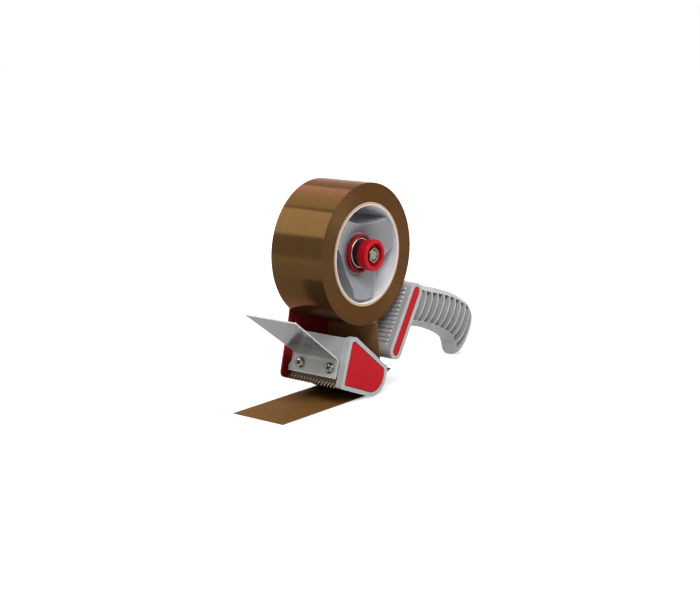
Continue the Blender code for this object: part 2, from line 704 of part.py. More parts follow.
def make_cheek_panel(parent, finish):
    outline = cheek_outline(CHEEK_RIM + GAP)
    back = CHEEK_OUTER - CHEEK_RECESS + GAP
    return prism("cheek_panel", outline, -back - INSET, -back, finish, parent)


# The two clamping screws' holes through a sheet on the front face.
def drill_face(target, name, back, front, finish):
    hole = SCREW_RADIUS + GAP
    profile = [(hole, back - OVERRUN), (hole, front + OVERRUN)]
    mesh = face_pins_mesh(name, [(y, SCREW_UP, profile) for y in (-SCREW_NEAR, SCREW_FAR)])
    boolean(target, name, mesh, finish)


def make_wiper_flap(parent, finish):
    fold = face_point(FLAP_FOLD, -FLAP)
    tip = fold + Vector((-math.cos(FLAP_RISE), math.sin(FLAP_RISE))) * FLAP_LENGTH
    low = face_point(FLAP_LOW, -FLAP)
    path = rounded([(low.x, low.y, 0.0), (fold.x, fold.y, FLAP_BEND_RADIUS), (tip.x, tip.y, 0.0)],
                   closed=False, steps=FLAP_BEND_STEPS)
    rows = [(path[0], -FLAP_NEAR, FLAP_FAR), (face_point(FLAP_SHOULDER, -FLAP), -FLAP_NEAR, FLAP_FAR)]
    rows += [(point, -FLAP_NEAR, FLAP_FAR - FLAP_NECK) for point in path[1:-1]]
    rows.append((path[-1], -FLAP_NEAR - FLAP_FLARE_NEAR, FLAP_FAR + FLAP_FLARE_FAR))
    flap = add("wiper_flap", ribbon_mesh("wiper_flap", rows, FLAP), finish, parent)
    drill_face(flap, "flap_hole_cutter", -FLAP, 0.0, finish)
    return flap


def make_flap_screws(parent, finish):
    profile = [(SCREW_RADIUS, PANEL_BACK - SCREW_TAIL), (SCREW_RADIUS, GAP), (SCREW_HEAD_RADIUS, GAP)]
    profile += [(SCREW_HEAD_RADIUS * out, GAP + SCREW_HEAD * up) for out, up in PAN_HEAD_SHARES]
    for name, y in (("flap_screw_near", -SCREW_NEAR), ("flap_screw_far", SCREW_FAR)):
        add(name, face_pins_mesh(name, [(y, SCREW_UP, profile)]), finish, parent)


def make_cutting_blade(parent, finish):
    half = HALF_TAPE - BLADE_SHORT
    pitch = 2 * half / BLADE_TEETH
    outline = [(half, BLADE_TOP), (-half, BLADE_TOP)]
    for i in range(BLADE_TEETH):
        outline.append((pitch * i - half, BLADE_TOOTH))
        outline.append((pitch * (i + 0.5) - half, 0.0))
    outline.append((half, BLADE_TOOTH))
    blade = add("cutting_blade", face_sheet_mesh("cutting_blade", outline, BLADE_FRONT, BLADE_BACK),
                finish, parent)
    drill_face(blade, "blade_hole_cutter", BLADE_BACK, BLADE_FRONT, finish)
    return blade


def plate_outline():
    foot = face_point(0.0, PLATE_PROUD)
    shoulder = face_point(PLATE_SHOULDER_UP, PLATE_SHOULDER_PROUD)
    round_radius = CHEEK_ROUND - PLATE_EDGE
    first = touch_angle(foot, ROLLER_AXIS, round_radius, 1)
    heel = arc(ROLLER_AXIS, round_radius, first, -math.pi / 4)
    toe = Vector(STOP_AXIS) + Vector((PLATE_HEEL_REACH, -PLATE_HEEL_REACH))
    half_long = BEAM_LENGTH / 2 - PLATE_EDGE
    half_thick = BEAM_THICKNESS / 2 - PLATE_EDGE
    beam_low = beam_point(-half_long, half_thick)
    beam_back = beam_point(half_long, half_thick)
    beam_top = beam_point(half_long, -half_thick)
    right = touch_angle(beam_top, ROLL_AXIS, PLATE_HUB_RADIUS, 1)
    left = touch_angle(shoulder, ROLL_AXIS, PLATE_HUB_RADIUS, -1)
    crown = arc(ROLL_AXIS, PLATE_HUB_RADIUS, right, left % math.tau, 3 * ARC_STEPS)
    corners = [(foot.x, foot.y, PLATE_FOOT_RADIUS), *[(p.x, p.y, 0.0) for p in heel],
               (toe.x, toe.y, PLATE_HEEL_RADIUS), (beam_low.x, beam_low.y, PLATE_HEEL_RADIUS),
               (beam_back.x, beam_back.y, PLATE_HEEL_RADIUS), (beam_top.x, beam_top.y, PLATE_HEEL_RADIUS),
               *[(p.x, p.y, 0.0) for p in crown], (shoulder.x, shoulder.y, PLATE_SHOULDER_RADIUS)]
    return rounded(corners)


def make_side_plate(parent, finish):
    plate = prism("side_plate", plate_outline(), PLATE_NEAR, PLATE_FAR, finish, parent)
    beam, head = screw_places()
    low, high = PLATE_NEAR - OVERRUN, PLATE_FAR + OVERRUN
    holes = [(ROLL_AXIS, SPINDLE_RADIUS + GAP, low, high), (ROLLER_AXIS, AXLE_RADIUS + GAP, low, high),
             (STOP_AXIS, STOP_PIN_RADIUS + GAP, low, high)]
    holes += [(place, PLATE_SCREW_RADIUS + GAP, low, high) for place in beam + head]
    drill(plate, "plate_hole_cutter", holes, finish)
    return plate


def make_plate_screws(parent, finish):
    beam, head = screw_places()
    end = PLATE_NEAR - GAP - PLATE_SCREW_DEPTH + GAP
    seat = PLATE_FAR + GAP
    profile = [(0.0, end), (PLATE_SCREW_RADIUS, end), (PLATE_SCREW_RADIUS, seat),
               (PLATE_SCREW_HEAD_RADIUS, seat)]
    profile += [(PLATE_SCREW_HEAD_RADIUS * out, seat + PLATE_SCREW_HEAD * up) for out, up in PAN_HEAD_SHARES]
    profile.append((0.0, seat + PLATE_SCREW_HEAD))
    names = ("beam_screw_low", "beam_screw_high", "head_screw_low", "head_screw_high")
    for name, place in zip(names, beam + head):
        turned(name, profile, place, SMALL_SIDES, finish, parent)


def slot_outline(length, thickness, corner):
    ends = ((-1, -1), (-1, 1), (1, 1), (1, -1))
    corners = []
    for along, across in ends:
        point = beam_point(along * length / 2, across * thickness / 2)
        corners.append((point.x, point.y, corner))
    return rounded(corners)


# One line across the grip, from its underside to its top, at an offset behind the beam.
def grip_line(offset):
    last = len(GRIP_TOP_SHARES) - 1
    place = last * (offset - GRIP_START) / (GRIP_REACH - GRIP_START)
    index = min(int(place), last - 1)
    ends = []
    for shares in (GRIP_LOW_SHARES, GRIP_TOP_SHARES):
        rise = BEAM_MIDDLE.y * (shares[index] + (shares[index + 1] - shares[index]) * (place - index) - 1)
        ends.append(BEAM_MIDDLE + Vector((offset + rise / math.tan(BEAM_LEAN), rise)))
    return ends


def grip_mesh():
    bm = bmesh.new()
    rings = []
    step = (GRIP_REACH - GRIP_START) / (len(GRIP_WIDTH_SHARES) - 1)
    stations = [(*grip_line(GRIP_START + step * i), share) for i, share in enumerate(GRIP_WIDTH_SHARES)]
    low, top, width = stations[-1]
    middle = (low + top) / 2
    push = Vector((top.y - low.y, low.x - top.x)).normalized() * GRIP_END_BULGE
    stations.append((middle.lerp(low, GRIP_END_SHARE) + push, middle.lerp(top, GRIP_END_SHARE) + push,
                     width * GRIP_END_SHARE))
    for low, top, width in stations:
        middle = (low + top) / 2
        ring = []
        for i in range(GRIP_SIDES):
            turn = math.tau * i / GRIP_SIDES
            side = math.copysign(abs(math.cos(turn)) ** GRIP_SQUARE_SHARE, math.cos(turn))
            rise = math.copysign(abs(math.sin(turn)) ** GRIP_SQUARE_SHARE, math.sin(turn))
            point = middle + (top - middle) * rise
            ring.append(bm.verts.new((point.x, GRIP_HALF_WIDTH * width * side, point.y)))
        rings.append(ring)
    bm.faces.new(rings[0])
    bm.faces.new(rings[-1])
    for near, far in zip(rings, rings[1:]):
        for i in range(GRIP_SIDES):
            bm.faces.new((near[i - 1], near[i], far[i], far[i - 1]))
    return to_mesh("grip_form", bm)


def grip_pockets():
    ribs = [GRIP_FIRST_RIB + GRIP_RIB_PITCH * i for i in range(GRIP_RIBS)]
    starts = [BEAM_THICKNESS / 2 / math.sin(BEAM_LEAN) + GRIP_RIB] + [rib + GRIP_RIB / 2 for rib in ribs]
    ends = [rib - GRIP_RIB / 2 for rib in ribs] + [ribs[-1] + GRIP_POCKETS_END]
    first, last = GRIP_LOW_BAND_SHARES
    outlines = []
    for edges in zip(starts, ends):
        lows, tops = [], []
        for offset in edges:
            low, top = grip_line(offset)
            band = first + (last - first) * (offset - GRIP_START) / (GRIP_REACH - GRIP_START)
            lows.append(low.lerp(top, band))
            tops.append(top - (top - low).normalized() * GRIP_BAND)
        outlines.append([lows[0], lows[1], tops[1], tops[0]])
    return outlines


def make_handle(parent, finish):
    outline = slot_outline(BEAM_LENGTH, BEAM_THICKNESS, BEAM_CORNER)
    handle = prism("handle_moulding", outline, -BEAM_NEAR, MOULDING_FAR, finish, parent)
    boolean(handle, "grip_form", grip_mesh(), finish, "UNION")
    outlines = grip_pockets()
    reach = GRIP_HALF_WIDTH + OVERRUN
    for name, near, far in (("pocket_near_cutter", -reach, -GRIP_WEB / 2),
                            ("pocket_far_cutter", GRIP_WEB / 2, reach)):
        boolean(handle, name, prism_mesh(name, outlines, near, far), finish)
    grooves = []
    for i in range(BEAM_GROOVES):
        along = BEAM_GROOVE_PITCH * (i - (BEAM_GROOVES - 1) / 2)
        low, high = along - BEAM_GROOVE / 2, along + BEAM_GROOVE / 2
        face = -BEAM_THICKNESS / 2
        grooves.append([beam_point(low, face - OVERRUN), beam_point(high, face - OVERRUN),
                        beam_point(high, face + BEAM_GROOVE_DEPTH), beam_point(low, face + BEAM_GROOVE_DEPTH)])
    boolean(handle, "groove_cutter", prism_mesh("groove_cutter", grooves, BEAM_BAND - BEAM_NEAR,
                                                MOULDING_FAR + OVERRUN), finish)
    slot = slot_outline(BEAM_SLOT_LENGTH, BEAM_SLOT_WIDTH, BEAM_SLOT_WIDTH / 2)
    boolean(handle, "slot_cutter", prism_mesh("slot_cutter", [slot], -BEAM_NEAR - OVERRUN,
                                              -BEAM_NEAR + BEAM_RECESS), finish)
    beam, head = screw_places()
    drill(handle, "beam_hole_cutter", [(place, PLATE_SCREW_RADIUS + GAP, MOULDING_FAR - PLATE_SCREW_DEPTH,
                                        MOULDING_FAR + OVERRUN) for place in beam], finish)
    return handle


def make_beam_panel(parent, finish):
    width = BEAM_SLOT_WIDTH - 2 * GAP
    outline = slot_outline(BEAM_SLOT_LENGTH - 2 * GAP, width, width / 2)
    back = BEAM_NEAR - BEAM_RECESS + GAP
    return prism("beam_panel", outline, -back - INSET, -back, finish, parent)


def make_tape_stop(parent, finish):
    axis = Vector(STOP_AXIS)
    eye = arc(axis, STOP_EYE_RADIUS, math.pi, 3 * math.pi / 2)
    outline = [axis + Vector(p) for p in (
        (STOP_TAIL_REACH, -STOP_TAIL_DROP), (STOP_NOTCH_REACH, STOP_NOTCH_RISE),
        (STOP_BARB_REACH, STOP_BARB_RISE), (0.0, STOP_EYE_RADIUS),
        (STOP_LIP - STOP_LIP_FRONT, STOP_LIP_RISE), (-STOP_LIP_FRONT, STOP_LIP_RISE))]
    outline += eye
    stop = prism("tape_stop", outline, -STOP_NEAR, STOP_FAR, finish, parent)
    finger = (STOP_NEAR + STOP_FAR + STOP_FINGER_GAP) / STOP_FINGERS
    reach = STOP_TAIL_REACH + OVERRUN
    for i in range(1, STOP_FINGERS):
        near = -STOP_NEAR + finger * i - STOP_FINGER_GAP
        name = f"finger_{i}_cutter"
        box = [axis + Vector(p) for p in ((STOP_NOTCH_REACH, -reach), (reach, -reach),
                                          (reach, reach), (STOP_NOTCH_REACH, reach))]
        boolean(stop, name, prism_mesh(name, [box], near, near + STOP_FINGER_GAP), finish)
    drill(stop, "stop_bore_cutter", [(axis, STOP_PIN_RADIUS + GAP, -STOP_NEAR - OVERRUN,
                                      STOP_FAR + OVERRUN)], finish)
    return stop


def make_stop_pin(parent, finish):
    near = -STOP_NEAR - GAP
    seat = PLATE_FAR + GAP
    profile = [(0.0, near - STOP_HEAD), (STOP_HEAD_RADIUS, near - STOP_HEAD), (STOP_HEAD_RADIUS, near),
               (STOP_PIN_RADIUS, near), (STOP_PIN_RADIUS, seat), (STOP_HEAD_RADIUS, seat),
               (STOP_HEAD_RADIUS, seat + STOP_HEAD), (0.0, seat + STOP_HEAD)]
    return turned("stop_pin", profile, STOP_AXIS, SMALL_SIDES, finish, parent)


def make_stop_spring(parent, finish):
    half = STOP_SPRING_WIRE / 2
    start, end = STOP_FAR + GAP + half, PLATE_NEAR - GAP - half
    coil = coil_points(STOP_AXIS, STOP_SPRING_RADIUS, STOP_SPRING_TURNS, STOP_SPRING_POINTS, start, end)
    leg = Vector((0.0, 0.0, STOP_SPRING_LEG))
    print("stop_spring least gap to itself, mm:",
          round(1000 * spring_gap(coil, STOP_SPRING_POINTS, STOP_SPRING_WIRE), 3))
    return wire_curve("stop_spring", [coil[0] - leg, *coil, coil[-1] + leg], STOP_SPRING_WIRE, finish, parent)


def make_tape_lead(parent, finish):
    roll = Vector(ROLL_AXIS)
    on_roll = ROLL_RADIUS + GAP
    lap = math.asin((PEEL_OFFSET - PEEL_LAP) / on_roll)
    peel = math.asin(PEEL_OFFSET / on_roll)
    bottom = -math.pi / 2
    start = roll + Vector((math.sin(lap), -math.cos(lap))) * (on_roll + FILM)
    corner = roll + Vector((math.sin(peel), -math.cos(peel))) * (on_roll + FILM)
    wrap = ROLLER_RADIUS + GAP
    touch = touch_angle(corner, ROLLER_AXIS, wrap, -1)
    around = arc(ROLLER_AXIS, wrap, touch, bottom, 2 * ARC_STEPS)
    peeled = rounded([(start.x, start.y, 0.0), (corner.x, corner.y, PEEL_BEND),
                      (around[0].x, around[0].y, 0.0)], closed=False, steps=ARC_STEPS // 2)
    path = peeled + around[1:] + [Vector((-TAIL_REACH, FILM))]
    rows = [(point, -HALF_TAPE, HALF_TAPE) for point in path]
    return add("tape_lead", ribbon_mesh("tape_lead", rows, FILM), finish, parent)


def build():
    clear_scene()
    grey = material("grey_moulding", (0.40, 0.41, 0.42), 0.45)
    grey_hub = material("grey_hub", (0.36, 0.38, 0.40), 0.42)
    red = material("red_inset", (0.50, 0.012, 0.018), 0.38)
    red_knob = material("red_knob", (0.48, 0.010, 0.016), 0.34)
    red_cup = material("red_cup", (0.42, 0.010, 0.016), 0.36)
    red_steel = material("red_steel", (0.33, 0.010, 0.014), 0.40, 0.1)
    clear = material("clear_flap", (0.55, 0.57, 0.58), 0.15, 0.0, 0.55)
    brown = material("brown_tape", (0.15, 0.075, 0.030), 0.30)
    brown_film = material("brown_film", (0.17, 0.085, 0.032), 0.28)
    card = material("card_core", (0.52, 0.40, 0.27), 0.85)
    rubber = material("black_rubber", (0.012, 0.012, 0.013), 0.70)
    black = material("black_plastic", (0.015, 0.018, 0.018), 0.50)
    white = material("white_roller_core", (0.60, 0.60, 0.58), 0.50)
    felt = material("dark_fibre", (0.06, 0.06, 0.06), 0.90)
    bright = material("bright_steel", (0.62, 0.62, 0.60), 0.22, 1.0)
    axle_steel = material("axle_steel", (0.50, 0.50, 0.50), 0.30, 1.0)
    blade_steel = material("blade_steel", (0.55, 0.53, 0.50), 0.28, 1.0)
    spring_steel = material("spring_steel", (0.66, 0.66, 0.64), 0.25, 1.0)

    root = empty("dispenser", ORIGIN_SHIFT)
    roll = carrier("roll_axis", ROLL_AXIS, root)
    roller = carrier("roller_axis", ROLLER_AXIS, root)
    stop = carrier("stop_axis", STOP_AXIS, root)

    make_side_plate(root, red_steel)
    make_plate_screws(root, bright)
    make_handle(root, grey)
    make_beam_panel(root, red)
    make_head_housing(root, grey)
    make_cheek_panel(root, red)
    make_cutting_blade(root, blade_steel)
    make_wiper_flap(root, clear)
    make_flap_screws(root, bright)
    make_roller_axle(root, axle_steel)
    make_axle_clip(root, spring_steel)
    make_stop_pin(root, axle_steel)
    make_stop_spring(root, spring_steel)
    make_spindle(root, axle_steel)
    make_friction_washer(root, felt)
    make_brake_cup(root, red_cup)
    make_tension_spring(root, spring_steel)
    make_tape_lead(root, brown_film)
    make_tape_roll(roll, brown)
    make_roll_core(roll, card)
    make_core_hub(roll, grey_hub)
    make_thrust_washer(roll, bright)
    make_tension_knob(roll, red_knob)
    make_knob_nut(roll, bright)
    make_roller_sleeve(roller, rubber)
    make_roller_core(roller, white)
    make_tape_stop(stop, black)


build()
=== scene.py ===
import math
import bmesh
import bpy
from mathutils import Matrix, Vector


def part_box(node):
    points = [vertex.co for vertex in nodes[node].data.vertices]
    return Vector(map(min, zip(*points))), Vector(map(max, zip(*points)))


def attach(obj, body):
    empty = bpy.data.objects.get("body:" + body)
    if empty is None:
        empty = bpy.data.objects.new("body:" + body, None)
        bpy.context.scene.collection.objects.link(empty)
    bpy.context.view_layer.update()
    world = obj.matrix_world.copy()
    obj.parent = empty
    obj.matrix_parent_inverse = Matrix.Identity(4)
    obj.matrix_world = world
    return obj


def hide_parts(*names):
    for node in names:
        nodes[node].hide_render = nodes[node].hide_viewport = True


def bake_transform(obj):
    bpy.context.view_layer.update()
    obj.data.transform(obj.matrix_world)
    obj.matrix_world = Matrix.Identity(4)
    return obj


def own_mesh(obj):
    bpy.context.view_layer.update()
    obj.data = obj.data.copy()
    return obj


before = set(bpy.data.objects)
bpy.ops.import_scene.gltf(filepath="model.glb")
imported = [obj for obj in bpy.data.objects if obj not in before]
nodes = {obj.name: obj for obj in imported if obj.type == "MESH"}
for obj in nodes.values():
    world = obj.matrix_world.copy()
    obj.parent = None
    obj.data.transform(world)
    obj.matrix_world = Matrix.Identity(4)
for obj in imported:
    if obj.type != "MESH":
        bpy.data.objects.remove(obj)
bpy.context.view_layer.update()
scene = bpy.context.scene

# Where things turn, as packed, in metres
rollAxis = Vector((-0.03445, 0.0007, 0.1125))
rollerAxis = Vector((-0.03515, 0.0007, 0.0174))
stopAxis = Vector((-0.01265, 0.0007, 0.015))
# Front face of the head: its lean, its foot, up the slope, and out of the face
faceLean = math.radians(18.8)
faceFoot = Vector((-0.07565, 0.0007, 0.0151))
faceUp = Vector((math.sin(faceLean), 0.0, math.cos(faceLean)))
faceOut = Vector((-math.cos(faceLean), 0.0, math.sin(faceLean)))


def facePoint(y, up, out):
    return Vector((faceFoot.x, faceFoot.y + y, faceFoot.z)) + faceUp * up + faceOut * out


# Small helpers for building node trees

# Links or sets a node's inputs: by name, with _ for a space, or by number as i0, i1 and so on; colours get full alpha
def feed(tree, node, **inputs):
    for key, value in inputs.items():
        socket = node.inputs[int(key[1:]) if key[0] == "i" and key[1:].isdigit() else key.replace("_", " ")]
        if isinstance(value, bpy.types.NodeSocket):
            tree.links.new(value, socket)
        else:
            socket.default_value = (*value, 1) if socket.type == "RGBA" else value
    return node


def addNode(tree, kind, settings=(), **inputs):
    node = tree.nodes.new(kind)
    for key, value in dict(settings).items():
        setattr(node, key, value)
    return feed(tree, node, **inputs)


def newMaterial(name, **inputs):
    made = bpy.data.materials.new(name)
    made.use_nodes = True
    tree = made.node_tree
    return made, tree, feed(tree, tree.nodes["Principled BSDF"], **inputs)


def addMath(tree, operation, a, b=0.0, clamp=False):
    return addNode(tree, "ShaderNodeMath", {"operation": operation, "use_clamp": clamp}, i0=a, i1=b).outputs[0]


# A sum of values, each times its share
def addShares(tree, *parts):
    total = 0.0
    for value, share in parts:
        total = addNode(tree, "ShaderNodeMath", {"operation": "MULTIPLY_ADD"}, i0=value, i1=share, i2=total).outputs[0]
    return total


def addMix(tree, factor, low, high):
    return addNode(tree, "ShaderNodeMix", {"data_type": "RGBA"}, i0=factor, i6=low, i7=high).outputs[2]


def mixValues(tree, factor, low, high):
    return addNode(tree, "ShaderNodeMix", {"data_type": "FLOAT"}, i0=factor, i2=low, i3=high).outputs[0]


def spread(tree, value, low, high, toLow=0.0, toHigh=1.0):
    return addNode(tree, "ShaderNodeMapRange", {"clamp": True}, i0=value, i1=low, i2=high, i3=toLow, i4=toHigh).outputs[0]


def vectorMath(tree, operation, output, **inputs):
    return addNode(tree, "ShaderNodeVectorMath", {"operation": operation}, **inputs).outputs[output]


def splitPlace(tree, place):
    return addNode(tree, "ShaderNodeSeparateXYZ", Vector=place).outputs


def objectPlace(tree, origin=(0.0, 0.0, 0.0)):
    place = addNode(tree, "ShaderNodeTexCoord").outputs["Object"]
    return vectorMath(tree, "SUBTRACT", "Vector", i0=place, i1=tuple(origin))


# From the roll's axis: the place, its three parts, the flat way out to it and its distance
def rollPlace(tree):
    place = objectPlace(tree, rollAxis)
    parts = splitPlace(tree, place)
    flat = addNode(tree, "ShaderNodeCombineXYZ", X=parts["X"], Z=parts["Z"]).outputs[0]
    return place, parts, flat, vectorMath(tree, "LENGTH", "Value", i0=flat)


# The span that the values of a noise mostly keep to
noiseSpan = (0.3, 0.7)


def addNoise(tree, place, scale, detail, roughness=0.5, distortion=0.0):
    return addNode(tree, "ShaderNodeTexNoise", Vector=place, Scale=scale, Detail=detail, Roughness=roughness,
                   Distortion=distortion).outputs["Fac"]


# Noise along a single value, such as the distance from an axis
def addRings(tree, value, scale, detail):
    return addNode(tree, "ShaderNodeTexNoise", {"noise_dimensions": "1D"}, W=value, Scale=scale,
                   Detail=detail).outputs["Fac"]


def stretched(tree, place, scale, **inputs):
    return addNode(tree, "ShaderNodeMapping", Vector=place, Scale=scale, **inputs).outputs[0]


def addBump(tree, height, strength, distance):
    return addNode(tree, "ShaderNodeBump", Height=height, Strength=strength, Distance=distance).outputs[0]


# Effects that several finishes share

# A shader group has numbers in and out; a group for shapes also has the shape in and out
def newGroup(name, inputs, outputs=(), kind="ShaderNodeTree"):
    group = bpy.data.node_groups.new(name, kind)
    if kind == "GeometryNodeTree":
        for way in ("INPUT", "OUTPUT"):
            group.interface.new_socket("Geometry", in_out=way, socket_type="NodeSocketGeometry")
    for socket, value in inputs.items():
        group.interface.new_socket(socket, in_out="INPUT", socket_type="NodeSocketFloat").default_value = value
    for socket in outputs:
        group.interface.new_socket(socket, in_out="OUTPUT", socket_type="NodeSocketFloat")
    return group, group.nodes.new("NodeGroupInput").outputs, group.nodes.new("NodeGroupOutput").inputs


# A mask along the edges, broken up by a noise. It sets edge wear on most finishes, which on the grey moulding is partly
# a painted highlight; it sets a painted highlight along the clear sheet's edges and a painted shade outline round the
# red insets
edgeRubAndPaintedLight = {"inputs": {"Width": 0.0006, "Low": 0.04, "High": 0.3, "Breakup": 0.4, "Scale": 260.0}, "samples": 6,
           "specks": (4.0, 0.5), "span": (0.35, 0.65)}


def makeEdgeWearAndPaintedLight(look):
    group, given, put = newGroup("edgeWearAndPaintedLight", look["inputs"], ["Mask"])
    soft = addNode(group, "ShaderNodeBevel", {"samples": look["samples"]}, Radius=given["Width"]).outputs[0]
    plain = addNode(group, "ShaderNodeNewGeometry").outputs["Normal"]
    bent = addMath(group, "SUBTRACT", 1.0, vectorMath(group, "DOT_PRODUCT", "Value", i0=soft, i1=plain))
    edge = spread(group, bent, given["Low"], given["High"])
    speck = addNoise(group, objectPlace(group), given["Scale"], *look["specks"])
    rub = addMath(group, "MULTIPLY", given["Breakup"], spread(group, speck, *look["span"]))
    kept = addMath(group, "SUBTRACT", 1.0, rub)
    group.links.new(addMath(group, "MULTIPLY", edge, kept, True), put["Mask"])
    return group


# Fine moulded grain with slow, faint shifts of tone
mouldedGrain = {"inputs": {"Scale": 2200.0, "Cloud Scale": 38.0}, "fine": (2.0, 0.5), "clouds": (5.0, 0.6),
                "fineHeight": 0.5, "cloudShine": 0.6}
# The span that its Shine mostly keeps to
shineSpan = (0.5, 1.1)


def makeMouldGrain(look):
    group, given, put = newGroup("mouldGrain", look["inputs"], ["Height", "Cloud", "Shine"])
    place = objectPlace(group)
    pebble = addNode(group, "ShaderNodeTexVoronoi", {"feature": "SMOOTH_F1"}, Vector=place,
                     Scale=given["Scale"]).outputs["Distance"]
    fine = addNoise(group, place, given["Scale"], *look["fine"])
    cloud = addNoise(group, place, given["Cloud Scale"], *look["clouds"])
    group.links.new(addShares(group, (pebble, 1.0), (fine, look["fineHeight"])), put["Height"])
    group.links.new(spread(group, cloud, *noiseSpan), put["Cloud"])
    group.links.new(addShares(group, (fine, 1.0), (cloud, look["cloudShine"])), put["Shine"])
    return group


# Small scratches and smudges from handling, for smooth plastics and metals
handled = {"inputs": {"Scale": 60.0, "Scratch Scale": 420.0}, "smudges": (6.0, 0.65, 0.6), "smudgeSpan": (0.35, 0.7),
           "stretch": (1.0, 0.16, 0.45), "turn": (0.3, 0.5, 0.8), "scratchWidth": 0.035}


def makeHandling(look):
    group, given, put = newGroup("handling", look["inputs"], ["Smudge", "Scratch"])
    place = objectPlace(group)
    smudge = addNoise(group, place, given["Scale"], *look["smudges"])
    drawn = stretched(group, place, look["stretch"], Rotation=look["turn"])
    line = addNode(group, "ShaderNodeTexVoronoi", {"feature": "DISTANCE_TO_EDGE"}, Vector=drawn,
                   Scale=given["Scratch Scale"]).outputs["Distance"]
    group.links.new(spread(group, smudge, *look["smudgeSpan"]), put["Smudge"])
    group.links.new(spread(group, line, 0.0, look["scratchWidth"], 1.0, 0.0), put["Scratch"])
    return group


edgeWearAndPaintedLight = makeEdgeWearAndPaintedLight(edgeRubAndPaintedLight)
mouldGrain = makeMouldGrain(mouldedGrain)
handling = makeHandling(handled)


def useGroup(tree, group, **inputs):
    return addNode(tree, "ShaderNodeGroup", {"node_tree": group}, **inputs).outputs


def addEdgeWearAndPaintedLight(tree, look, **inputs):
    low, high = look["worn"]
    return useGroup(tree, edgeWearAndPaintedLight, Width=look["edge"], Low=low, High=high, Breakup=look["breakup"], **inputs)["Mask"]


# The finishes. A noise is set by its scale, detail and roughness, a bump by its strength and its depth in metres.
# Edge is the width of the edge mask, for wear and for painted edge light, and worn the bend over which it sets in

# Colour, with a roughness and a bump that follow one noise
def dress(tree, shader, look, tone, noise, height=None):
    feed(tree, shader, Base_Color=tone, Roughness=spread(tree, noise, *noiseSpan, *look["roughness"]),
         Normal=addBump(tree, height or noise, *look["bump"]))


# Colour, with the marks of handling in roughness and bump
def dressHandled(tree, shader, look, tone, marks):
    shine = spread(tree, marks["Smudge"], 0.0, 1.0, *look["roughness"])
    feed(tree, shader, Base_Color=tone, Roughness=addShares(tree, (shine, 1.0), (marks["Scratch"], look["scratchShine"])),
         Normal=addBump(tree, marks["Scratch"], *look["bump"]))


# The pale rim along the edges is edge wear and partly a painted highlight
mouldedGrey = {"colour": (0.389, 0.391, 0.394), "rim": (0.62, 0.62, 0.61), "shade": (0.315, 0.32, 0.326),
               "specular": 0.16, "roughness": (0.42, 0.56), "bump": (0.35, 0.00006), "edge": 0.0009,
               "worn": (0.03, 0.25), "breakup": 0.25}
# The hub's grey is a darker copy of the moulded grey: painted shade for the hub deep inside the core
hubGreyInPaintedShade = {**mouldedGrey, "colour": (0.236, 0.243, 0.252), "shade": (0.183, 0.19, 0.199)}


def makeMoulded(name, look):
    made, tree, shader = newMaterial(name, Specular_IOR_Level=look["specular"])
    grain = useGroup(tree, mouldGrain)
    tone = addMix(tree, grain["Cloud"], look["shade"], look["colour"])
    # Pale edges: edge wear and partly a painted highlight
    feed(tree, shader, Base_Color=addMix(tree, addEdgeWearAndPaintedLight(tree, look), tone, look["rim"]),
         Roughness=spread(tree, grain["Shine"], *shineSpan, *look["roughness"]),
         Normal=addBump(tree, grain["Height"], *look["bump"]))
    return made


# Smooth plastic; on the brake cup, a dark ring of painted shade lies round the roll's axis, over the cup's inside
smoothPlastic = {"rim": (0.72, 0.72, 0.7), "rimShare": 0.5, "specular": 0.05, "coat": 0.0, "coatRoughness": 0.12,
                 "roughness": (0.4, 0.5), "scratchShine": 0.12, "bump": (0.12, 0.00002), "edge": 0.0005,
                 "worn": (0.05, 0.4), "breakup": 0.5}
# The red insets' dark rim, at full strength along their edges, is a painted shade outline in the groove round each
# inset
insetRed = {"colour": (0.44, 0.008, 0.012), "deep": (0.385, 0.006, 0.01), "rim": (0.05, 0.012, 0.012),
            "rimShare": 1.0, "roughness": (0.32, 0.42), "edge": 0.0011, "worn": (0.01, 0.1), "breakup": 0.05}
knobRed = {"colour": (0.45, 0.006, 0.013), "deep": (0.37, 0.005, 0.01), "rim": (0.7, 0.12, 0.13),
           "roughness": (0.24, 0.34), "edge": 0.0006, "coat": 0.03}
cupRed = {"colour": (0.36, 0.006, 0.013), "deep": (0.24, 0.005, 0.01), "rim": (0.6, 0.1, 0.11),
          "roughness": (0.26, 0.38), "edge": 0.0004, "greased": (0.0134, 0.013), "greaseShare": 0.96,
          "grease": (0.05, 0.014, 0.011)}
# Pale finish for the rib ends and the panel pip: a painted highlight
highlightPale = {"colour": (0.62, 0.62, 0.61), "deep": (0.55, 0.55, 0.54)}
plasticPale = {"colour": (0.6, 0.6, 0.57), "deep": (0.52, 0.52, 0.5)}


def makeSmooth(name, own):
    look = {**smoothPlastic, **own}
    made, tree, shader = newMaterial(name, Specular_IOR_Level=look["specular"], Coat_Weight=look["coat"],
                                     Coat_Roughness=look["coatRoughness"])
    marks = useGroup(tree, handling)
    tone = addMix(tree, marks["Smudge"], look["deep"], look["colour"])
    # The rim is pale edge rub on most finishes; on the red insets it is a painted shade outline
    tone = addMix(tree, addMath(tree, "MULTIPLY", addEdgeWearAndPaintedLight(tree, look), look["rimShare"]), tone, look["rim"])
    # Painted shade inside the cup
    if "grease" in look:
        ring = spread(tree, rollPlace(tree)[-1], *look["greased"], 0.0, look["greaseShare"])
        tone = addMix(tree, ring, tone, look["grease"])
    dressHandled(tree, shader, look, tone, marks)
    return made


